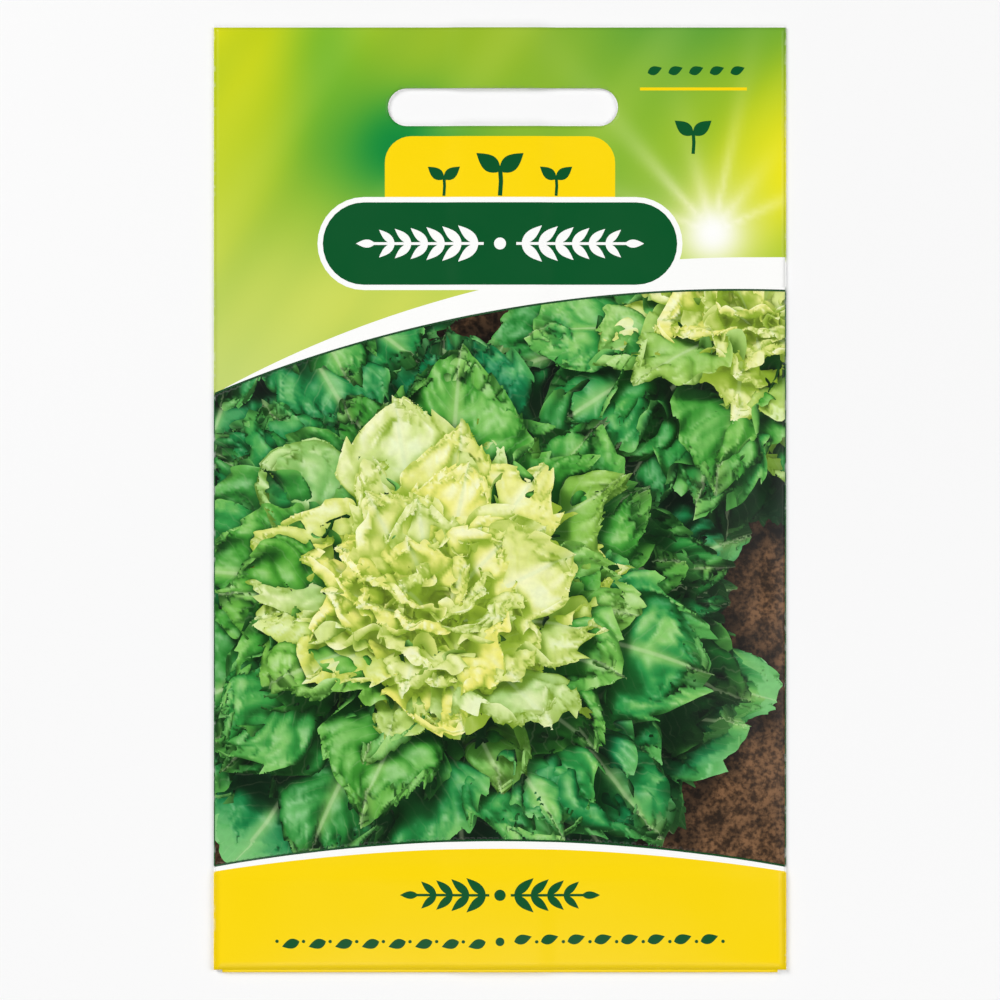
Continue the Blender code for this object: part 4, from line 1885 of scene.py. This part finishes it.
@dataclass
class FacePrint:
    """The printed face: a bright header, the picture, a yellow foot and plain ornaments."""

    form: PacketForm
    picture: LeafPicture
    under: Array
    header_pitch: float = 0.8
    header_low: float = 16.0
    overrun: float = 1.5
    film_clear: float = 0.01
    header_arc: Arc = Arc(42.0, 41.1, 188.0)
    window_arc: Arc = Arc(40.5, 35.4, 233.0)
    foot_arc: Arc = Arc(0.0, -57.1, 252.0)
    band_arc: Arc = Arc(0.0, -58.7, 282.0)
    key_line: float = 0.34
    wash_green: Shade = (134, 184, 50)
    fold_green: Shade = (30, 92, 44)
    glows: tuple[Glow, ...] = (
        Glow(-52.0, 88.0, 30.0, 34.0, (226, 222, 4), 1.0),
        Glow(-52.0, 50.0, 12.0, 40.0, (206, 216, 40), 0.7),
        Glow(-48.0, 18.0, 44.0, 26.0, (198, 214, 116), 0.95),
        Glow(-14.0, 33.0, 30.0, 11.0, (216, 222, 92), 0.85),
        Glow(0.0, 82.0, 26.0, 15.0, (160, 188, 38), 0.7),
        Glow(34.0, 88.0, 20.0, 17.0, (74, 150, 58), 0.95),
        Glow(-18.0, 60.0, 12.0, 9.0, (0, 132, 60), 0.95),
        Glow(-29.0, 74.0, 7.0, 17.0, (100, 176, 46), 0.75),
        Glow(54.0, 56.0, 19.0, 17.0, (246, 232, 4), 1.0),
        Glow(16.0, 47.0, 15.0, 9.0, (132, 178, 60), 0.6),
    )
    sun_place: tuple[float, float] = (36.0, 45.2)
    sun_halo: float = 9.5
    sun_disc: float = 4.6
    beams: tuple[Beam, ...] = (
        Beam(25, 5, 15), Beam(52, 7, 11), Beam(78, 4, 17),
        Beam(104, 7, 12), Beam(131, 5, 19), Beam(158, 6, 12),
    )
    plate: tuple[float, float, float, float] = (-30.0, 36.4, 30.0, 50.4)
    plate_rim: float = 0.9
    tab: tuple[float, float, float, float] = (-19.5, 46.0, 19.5, 61.6)
    tab_corner: float = 4.5
    corner_rule: tuple[float, float, float, float] = (23.7, 69.35, 41.8, 69.85)
    foot_row: float = -74.6

    @property
    def reach(self) -> float:
        """How far the print's zones run to both sides, past the edges."""
        return self.form.width / 2 + self.overrun

    def wash(self, places: Array) -> Array:
        """The header's soft greens and yellows, with a low sun at the right.

        Args:
            places: x and y on the print.

        Returns:
            A screen colour for each.
        """
        x, y = places[:, 0], places[:, 1]
        colour = np.broadcast_to(screen(*self.wash_green), (len(x), 3))
        for glow in self.glows:
            colour = glow.over(x, y, colour)
        slant = (x * 0.82 - y * 0.57) / 8.0
        streak = np.sin(slant * 2.1 + 0.7) * 0.5 + np.sin(slant * 4.7 + 2.0) * 0.3
        colour = blend(0.13 * np.clip(streak, 0, 1), colour, screen(240, 244, 120))
        colour = blend(0.10 * np.clip(-streak, 0, 1), colour, screen(40, 130, 46))
        return self.sunlight(x, y, colour)

    def sunlight(self, x: Array, y: Array, colour: Array) -> Array:
        """Lays a white glow and a fan of soft beams over a wash.

        Args:
            x: places across the print.
            y: places along it.
            colour: the wash's screen colours.

        Returns:
            The lit colours.
        """
        across, along = x - self.sun_place[0], y - self.sun_place[1]
        away = np.hypot(across, along)
        heading = np.arctan2(along, across)
        beams = np.maximum.reduce([beam.over(away, heading) for beam in self.beams])
        colour = blend(0.85 * beams, colour, screen(255, 254, 226))
        colour = blend(0.75 * np.exp(-(away / self.sun_halo) ** 2), colour, screen(253, 250, 190))
        return blend(np.exp(-(away / self.sun_disc) ** 2.4), colour, screen(255, 255, 253))

    def below(self, curve: Array) -> Outline:
        """Everything under a curve that runs from left to right."""
        low = -self.form.height / 2 - self.overrun
        return np.concatenate([curve, [[curve[-1, 0], low], [curve[0, 0], low]]])

    def window(self, grow: float, reach: float) -> Outline:
        """The picture's outline.

        Args:
            grow: how much larger above and below.
            reach: how far it runs to both sides.

        Returns:
            Points round it.
        """
        top = self.window_arc.grown(grow).points(-reach, reach)
        foot = self.foot_arc.grown(-grow).points(-reach, reach)
        return np.concatenate([top, foot[::-1]])

    def emblem(self) -> list[Region]:
        """The blank badge: a green plate over a yellow tab, with leaves for ornament.

        Returns:
            Its outlines, in order.
        """
        left, low, right, high = self.plate
        rim, round_end = self.plate_rim, (high - low) / 2
        made = Ink.YELLOW.on(box_outline(*self.tab, self.tab_corner))
        made += Ink.WHITE.on(box_outline(left - rim, low - rim, right + rim, high + rim, round_end + rim))
        made += Ink.DEEP_GREEN.on(box_outline(*self.plate, round_end))
        made += Sprig(46.0, 6, 4.6, Ink.WHITE).at(0.0, (low + high) / 2)
        for x, size in ((0.0, 8.2), (-9.5, 5.6), (9.5, 5.6)):
            made += Seedling(size, Ink.DEEP_GREEN).at(x, high + rim + 0.2)
        return made

    def ornaments(self) -> list[Region]:
        """The small marks in the corner and on the yellow foot.

        Returns:
            Their outlines, in order.
        """
        made = Ink.YELLOW.on(box_outline(*self.corner_rule))
        made += Ink.DEEP_GREEN.on(*(leaf_outline(25.0 + 3.5 * i, 72.3, 2.6, 1.5, 0.35) for i in range(5)))
        made += Seedling(6.4, Ink.DEEP_GREEN).at(32.7, 58.6)
        made += Sprig(30.0, 4, 4.4, Ink.DEEP_GREEN).at(0.0, -66.6)
        for side, turn in ((-1, math.pi), (1, 0.0)):
            for i in range(8):
                place = side * (2.4 + 4.5 * i)
                made += Ink.DEEP_GREEN.on(
                    leaf_outline(place, self.foot_row, 3.1, 1.7, turn + 0.3),
                    round_outline(place + side * 3.8, self.foot_row, 0.3, 12),
                )
        return made + Ink.DEEP_GREEN.on(round_outline(0.0, self.foot_row, 0.75, 20))

    def grounds(self) -> list[Region]:
        """The face's wide zones, from the header to the yellow foot.

        Returns:
            Their outlines, in order.
        """
        reach, high, header = self.reach, self.form.top_y + self.overrun, self.header_arc
        swoosh = np.concatenate([header.points(-reach, header.x), [[reach, header.y]]])
        return [
            Region(self.below(np.array([[-reach, high], [reach, high]])), self.wash),
            Region(self.below(swoosh), Ink.WHITE),
            Region(self.window(self.key_line, reach), Ink.LINE_GREEN),
            Region(self.window(0.0, reach), self.picture),
            Region(self.below(self.band_arc.points(-reach, reach)), Ink.YELLOW),
        ]

    def edge_colours(self, places: Array) -> Array:
        """The print's colours where it runs round the folds, with the picture as plain green.

        Args:
            places: x and y on the print.

        Returns:
            A screen colour for each.
        """
        colours = np.ones((len(places), 3))
        for region in self.grounds():
            chosen = inside(places, region.outline)
            if isinstance(region.fill, Ink):
                colours[chosen] = region.fill.colour
            elif region.fill is self.picture:
                colours[chosen] = screen(*self.fold_green)
            else:
                colours[chosen] = region.fill(places[chosen])
        return colours

    def films(self) -> list[PrintFilm]:
        """The face's printed layers: the picture, and the print above and below it.

        Returns:
            Both, ready to build.
        """
        form, edge = self.form, self.form.edge_x
        frame_line = self.window(0.0, edge)
        low, high = frame_line.min(axis=0), frame_line.max(axis=0)
        shown = self.picture.points((-edge, low[1] - 0.5), (edge, high[1] + 0.5))
        outline = box_outline(-edge, form.front_bottom_y, edge, form.top_y)
        holes = (form.slot_outline(self.film_clear), self.window(0.0, self.reach))
        header = [
            np.linspace(start, end, round((end - start) / self.header_pitch) + 1)
            for start, end in ((-edge, edge), (self.header_low, form.top_y))
        ]
        rest = np.concatenate([crossed(*header), self.under])
        regions = [*self.grounds(), *self.emblem(), *self.ornaments()]
        return [
            PrintFilm("picture_print", frame_line, (), self.grounds(), shown, form.front, 1, self.under),
            PrintFilm("face_print", outline, holes, regions, rest, form.front, 1, self.under),
        ]


@dataclass
class BackPrint:
    """The printed back: a months table, a planting sketch and lines for notes, on three layers."""

    form: PacketForm
    under: Array
    overrun: float = 1.0
    band_y: float = 50.0
    rule: float = 0.5
    table_top: float = 43.0
    cell: tuple[float, float] = (6.3, 4.4)
    months: int = 12
    hairline: float = 0.1
    sowing: tuple[tuple[int, int, Ink], ...] = (
        (3, 6, Ink.LIME), (5, 8, Ink.FRESH_GREEN), (8, 11, Ink.ORANGE),
    )
    bar_inset: float = 1.1
    bar_corner: float = 1.0
    month_size: float = 3.3
    soil_y: float = -24.0
    block_half_width: float = 36.0
    soil_depth: float = 6.0
    soil_corner: float = 1.2
    plant_gap: float = 24.0
    arrow: tuple[float, float, float] = (16.4, 16.55, 16.7)
    distance: int = 30
    distance_size: float = 3.6
    note_top: float = 20.0
    note_step: float = 5.0
    note_lines: int = 5
    note_rule: float = 0.18
    edge_gap: float = 0.12
    film_clear: float = 0.01
    flap_ground: tuple[float, float, float, float] = (-60.0, -90.0, 60.0, 0.0)
    letter_steps: int = 6

    def ground(self, places: Array) -> Array:
        """The back's pale tint, a little greener towards its sides and foot."""
        share = 0.35 * np.abs(places[:, 0]) / self.form.edge_x + 0.25 * ease(-places[:, 1], -40.0, 70.0)
        return blend(share, Ink.PALE.colour, screen(206, 226, 160))

    def band(self, places: Array) -> Array:
        """The header's green on the back."""
        share = ease(places[:, 0] + 0.6 * (places[:, 1] - 60.0), -50.0, 50.0)
        return blend(share, screen(196, 214, 60), screen(84, 158, 52))

    def letter_loops(self, text: str, size: float) -> list[Array]:
        """The outlines of a line of type, about its own middle.

        Args:
            text: what it says.
            size: of the type.

        Returns:
            x and y of the points round each outline, read from the front.
        """
        curve = bpy.data.curves.new("digits", "FONT")
        curve.body = text
        curve.align_x = "CENTER"
        curve.align_y = "CENTER"
        curve.size = size
        obj = link(bpy.data.objects.new("digits", curve))
        loops = []
        for spline in obj.to_curve(bpy.context.evaluated_depsgraph_get()).splines:
            knots = list(spline.bezier_points)
            run = []
            for first, second in zip(knots, knots[1:] + knots[:1]):
                arc = (first.co, first.handle_right, second.handle_left, second.co)
                run += interpolate_bezier(*arc, self.letter_steps)[:-1]
            loops.append(np.array([[spot.x, spot.y] for spot in run]))
        obj.to_curve_clear()
        bpy.data.objects.remove(obj)
        bpy.data.curves.remove(curve)
        return loops

    def digits(self, number: int, x: float, y: float, size: float) -> list[Region]:
        """A plain number, mirrored so that it reads from behind.

        Args:
            number: what it says.
            x: its middle.
            y: its middle.
            size: of the type.

        Returns:
            Its outlines, with those of its counters after them.
        """
        loops = [[x, y] + loop * [-1, 1] for loop in self.letter_loops(str(number), size)]
        solid, hollow = [], []
        for loop in loops:
            around = [other for other in loops if other is not loop and inside(loop[:1], other)[0]]
            (hollow if around else solid).append(loop)
        return Ink.DEEP_GREEN.on(*solid) + [Region(loop, self.ground) for loop in hollow]

    def month_table(self) -> list[Region]:
        """The table of twelve months with its coloured bars.

        Returns:
            Its outlines, in order.
        """
        wide, high = self.cell
        left, right = -self.months / 2 * wide, self.months / 2 * wide
        low, top, line = self.table_top - len(self.sowing) * high, self.table_top + high, self.hairline
        made = Ink.LIME.on(box_outline(left, self.table_top, right, top))
        for row, (first, last, ink) in enumerate(self.sowing):
            above = self.table_top - row * high
            bar = (right - last * wide, above - high + self.bar_inset,
                   right - (first - 1) * wide, above - self.bar_inset)
            made += ink.on(box_outline(*bar, self.bar_corner))
        for i in range(self.months + 1):
            x = left + i * wide
            made += Ink.LINE_GREEN.on(box_outline(x - line, low, x + line, top))
        for i in range(len(self.sowing) + 2):
            y = top - i * high
            made += Ink.LINE_GREEN.on(box_outline(left, y - line, right, y + line))
        for month in range(1, self.months + 1):
            x = right - (month - 0.5) * wide
            made += self.digits(month, x, self.table_top + high / 2, self.month_size)
        return made

    def sketch(self) -> list[Region]:
        """Seedlings on a strip of soil, with the distance between them.

        Returns:
            Its outlines, in order.
        """
        soil, gap = self.soil_y, self.plant_gap
        low, middle, high = (soil + rise for rise in self.arrow)
        wide = self.block_half_width
        made = Ink.EARTH.on(box_outline(-wide, soil - self.soil_depth, wide, soil, self.soil_corner))
        for x in (-gap, 0.0, gap):
            made += Seedling(13.0, Ink.FRESH_GREEN).at(x, soil)
            made += Ink.LIME.on(leaf_outline(x - 1.6, soil - 3.2, 3.2, 1.5, 0.0))
        for x in (-gap / 2, gap / 2):
            made += Ink.LINE_GREEN.on(
                box_outline(x - 10.0, low, x + 10.0, high),
                leaf_outline(x - 10.4, middle, 2.2, 1.3, 0.0),
                leaf_outline(x + 10.4, middle, 2.2, 1.3, math.pi),
            )
            made += self.digits(self.distance, x, soil + 19.0, self.distance_size)
        return made

    def regions(self) -> list[Region]:
        """Everything printed on the back.

        Returns:
            Its outlines, in order.
        """
        reach, high = self.form.width / 2 + self.overrun, self.form.top_y + self.overrun
        made = [
            Region(box_outline(-reach, -high, reach, high), self.ground),
            Region(box_outline(-reach, self.band_y, reach, high), self.band),
            *Ink.LINE_GREEN.on(box_outline(-reach, self.band_y - self.rule, reach, self.band_y)),
            *self.month_table(),
            *self.sketch(),
        ]
        wide = self.block_half_width
        for i in range(self.note_lines):
            y = self.note_top - self.note_step * i
            made += Ink.FRESH_GREEN.on(box_outline(-wide, y, wide, y + self.note_rule))
        return made + Sprig(34.0, 5, 4.6, Ink.FRESH_GREEN).at(0.0, -45.0)

    def flap_film(self) -> PrintFilm:
        """The printed layer on the bottom flap.

        Returns:
            The layer, ready to build.
        """
        form, top = self.form, self.form.flap_top_y - self.edge_gap
        wide, narrow = form.flap_fold_half_width - 0.3, form.flap_end_half_width - 0.2
        low = form.front_bottom_y
        outline = np.array([[-wide, low], [wide, low], [narrow, top], [-narrow, top]])
        regions = Ink.YELLOW.on(box_outline(*self.flap_ground))
        regions += Sprig(40.0, 6, 4.6, Ink.DEEP_GREEN).at(0.0, -72.6)
        return PrintFilm("flap_print", outline, (), regions, self.under, form.flap, -1, self.under)

    def films(self) -> list[PrintFilm]:
        """The printed layers on the two back panels and on the bottom flap.

        Returns:
            All three, ready to build.
        """
        form, gap, under = self.form, self.edge_gap, self.under
        low, high, edge, lap = form.flap_top_y + gap, form.top_y - gap, form.edge_x, form.lap_half_width
        holes, regions = (form.slot_outline(self.film_clear),), self.regions()
        left = box_outline(-edge, low, lap - gap, high)
        right = box_outline(lap + gap, low, edge, high)
        return [
            PrintFilm("lap_panel_print", left, holes, regions, under, form.left_back, -1, under),
            PrintFilm("under_panel_print", right, holes, regions, under, form.right_back, -1, under),
            self.flap_film(),
        ]


@dataclass(frozen=True)
class Lamp:
    """A square soft light that faces the packet; lengths in millimetres, power in watts."""

    name: str
    place: tuple[float, float, float]
    size: float
    power: float

    def build(self) -> None:
        """Hangs it in the scene."""
        data = bpy.data.lights.new(self.name, "AREA")
        data.energy = self.power
        data.size = self.size * MM
        lamp = link(bpy.data.objects.new(self.name, data))
        lamp.location = np.array(self.place) * MM
        lamp.rotation_euler = (-lamp.location).to_track_quat("-Z", "Y").to_euler()


@dataclass
class Studio:
    """A pale floor, soft lights and a camera that looks straight down."""

    photo_width: float = 169.31
    face_level: float = 0.5
    lens: float = 120.0
    sensor: float = 36.0
    clip: tuple[float, float] = (0.01, 20.0)
    floor_reach: float = 1500.0
    floor_tones: tuple[Paint, Paint] = ((0.93, 0.93, 0.93, 1.0), (0.95, 0.95, 0.95, 1.0))
    lamps: tuple[Lamp, ...] = (
        Lamp("key_light", (-760.0, 620.0, 760.0), 600.0, 9.5),
        Lamp("fill_light", (860.0, 120.0, 760.0), 700.0, 6.2),
        Lamp("low_light", (-120.0, -900.0, 760.0), 700.0, 5.3),
    )
    world_strength: float = 0.16

    def floor(self) -> None:
        """Lays the white surface under the packet."""
        finish = Finish("pale_floor")
        tone = finish.range(finish.noise(300.0, 2.0), 0.3, 0.7, 0.0, 1.0)
        white = finish.wear(
            Base_Color=finish.mix(tone, *self.floor_tones), Roughness=0.9, Specular_IOR_Level=0.1
        )
        reach = self.floor_reach
        corners = [(-reach, -reach, 0), (reach, -reach, 0), (reach, reach, 0), (-reach, reach, 0)]
        mesh_object("floor", np.array(corners), [(0, 1, 2, 3)], [white])

    def camera(self) -> None:
        """Hangs the camera where the packet fills the frame as in the photograph."""
        data = bpy.data.cameras.new("camera")
        data.lens = self.lens
        data.sensor_width = self.sensor
        data.clip_start, data.clip_end = self.clip
        camera = link(bpy.data.objects.new("camera", data))
        distance = self.photo_width * self.lens / self.sensor
        camera.location = (0.0, 0.0, (distance + self.face_level) * MM)
        bpy.context.scene.camera = camera

    def build(self) -> None:
        """Sets up the whole studio."""
        self.camera()
        self.floor()
        for lamp in self.lamps:
            lamp.build()
        world = bpy.data.worlds.new("studio")
        world.use_nodes = True
        sky = world.node_tree.nodes["Background"].inputs
        sky["Color"].default_value = (1.0, 1.0, 1.0, 1.0)
        sky["Strength"].default_value = self.world_strength
        bpy.context.scene.world = world
        bpy.context.scene.view_settings.view_transform = "Standard"


def coat_node(node: str, finish: Material) -> None:
    """Gives its finish to a solid of the part that shows as it is.

    Args:
        node: the solid's name.
        finish: the finish.
    """
    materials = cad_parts[node].data.materials
    materials.clear()
    materials.append(finish)


def main() -> None:
    """Builds the packet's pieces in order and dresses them."""
    logging.basicConfig(level=logging.INFO, format="%(name)s: %(message)s")
    form = PacketForm()
    Studio().build()
    coat = PrintedCoat().build("printed_coat", form.edge_x)
    bare = BarePaper().build("bare_paper")

    paper = FoldedSheet(form)
    sheet = paper.build(coat, bare)
    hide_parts("envelope")
    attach(sheet, BODY)
    LOG.info("folded sheet: %d faces", len(sheet.data.polygons))

    bed = LeafBed(heads=(
        Head(-11.0, -26.0, 54.0, 116, 0.3, 11),
        Head(43.0, 30.0, 44.0, 84, 1.1, 12),
        Head(-42.0, 46.0, 38.0, 66, 2.0, 13),
    ))
    bed.grow()
    LOG.info("leaf bed: %d faces", len(bed.faces))
    under = crossed(paper.columns(), paper.rows())
    face = FacePrint(form, LeafPicture(bed, LeafPaint()), under)
    paper.ink(sheet, face)
    for film in (*face.films(), *BackPrint(form, under).films()):
        made = film.build(coat)
        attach(made, BODY)
        LOG.info("%s: %d faces", film.name, len(made.data.polygons))

    coat_node("inner_sachet", BarrierFoil().build("barrier_foil"))
    coat_node("seeds", SeedCoat().build("dry_seed"))


if __name__ == "__main__":
    main()
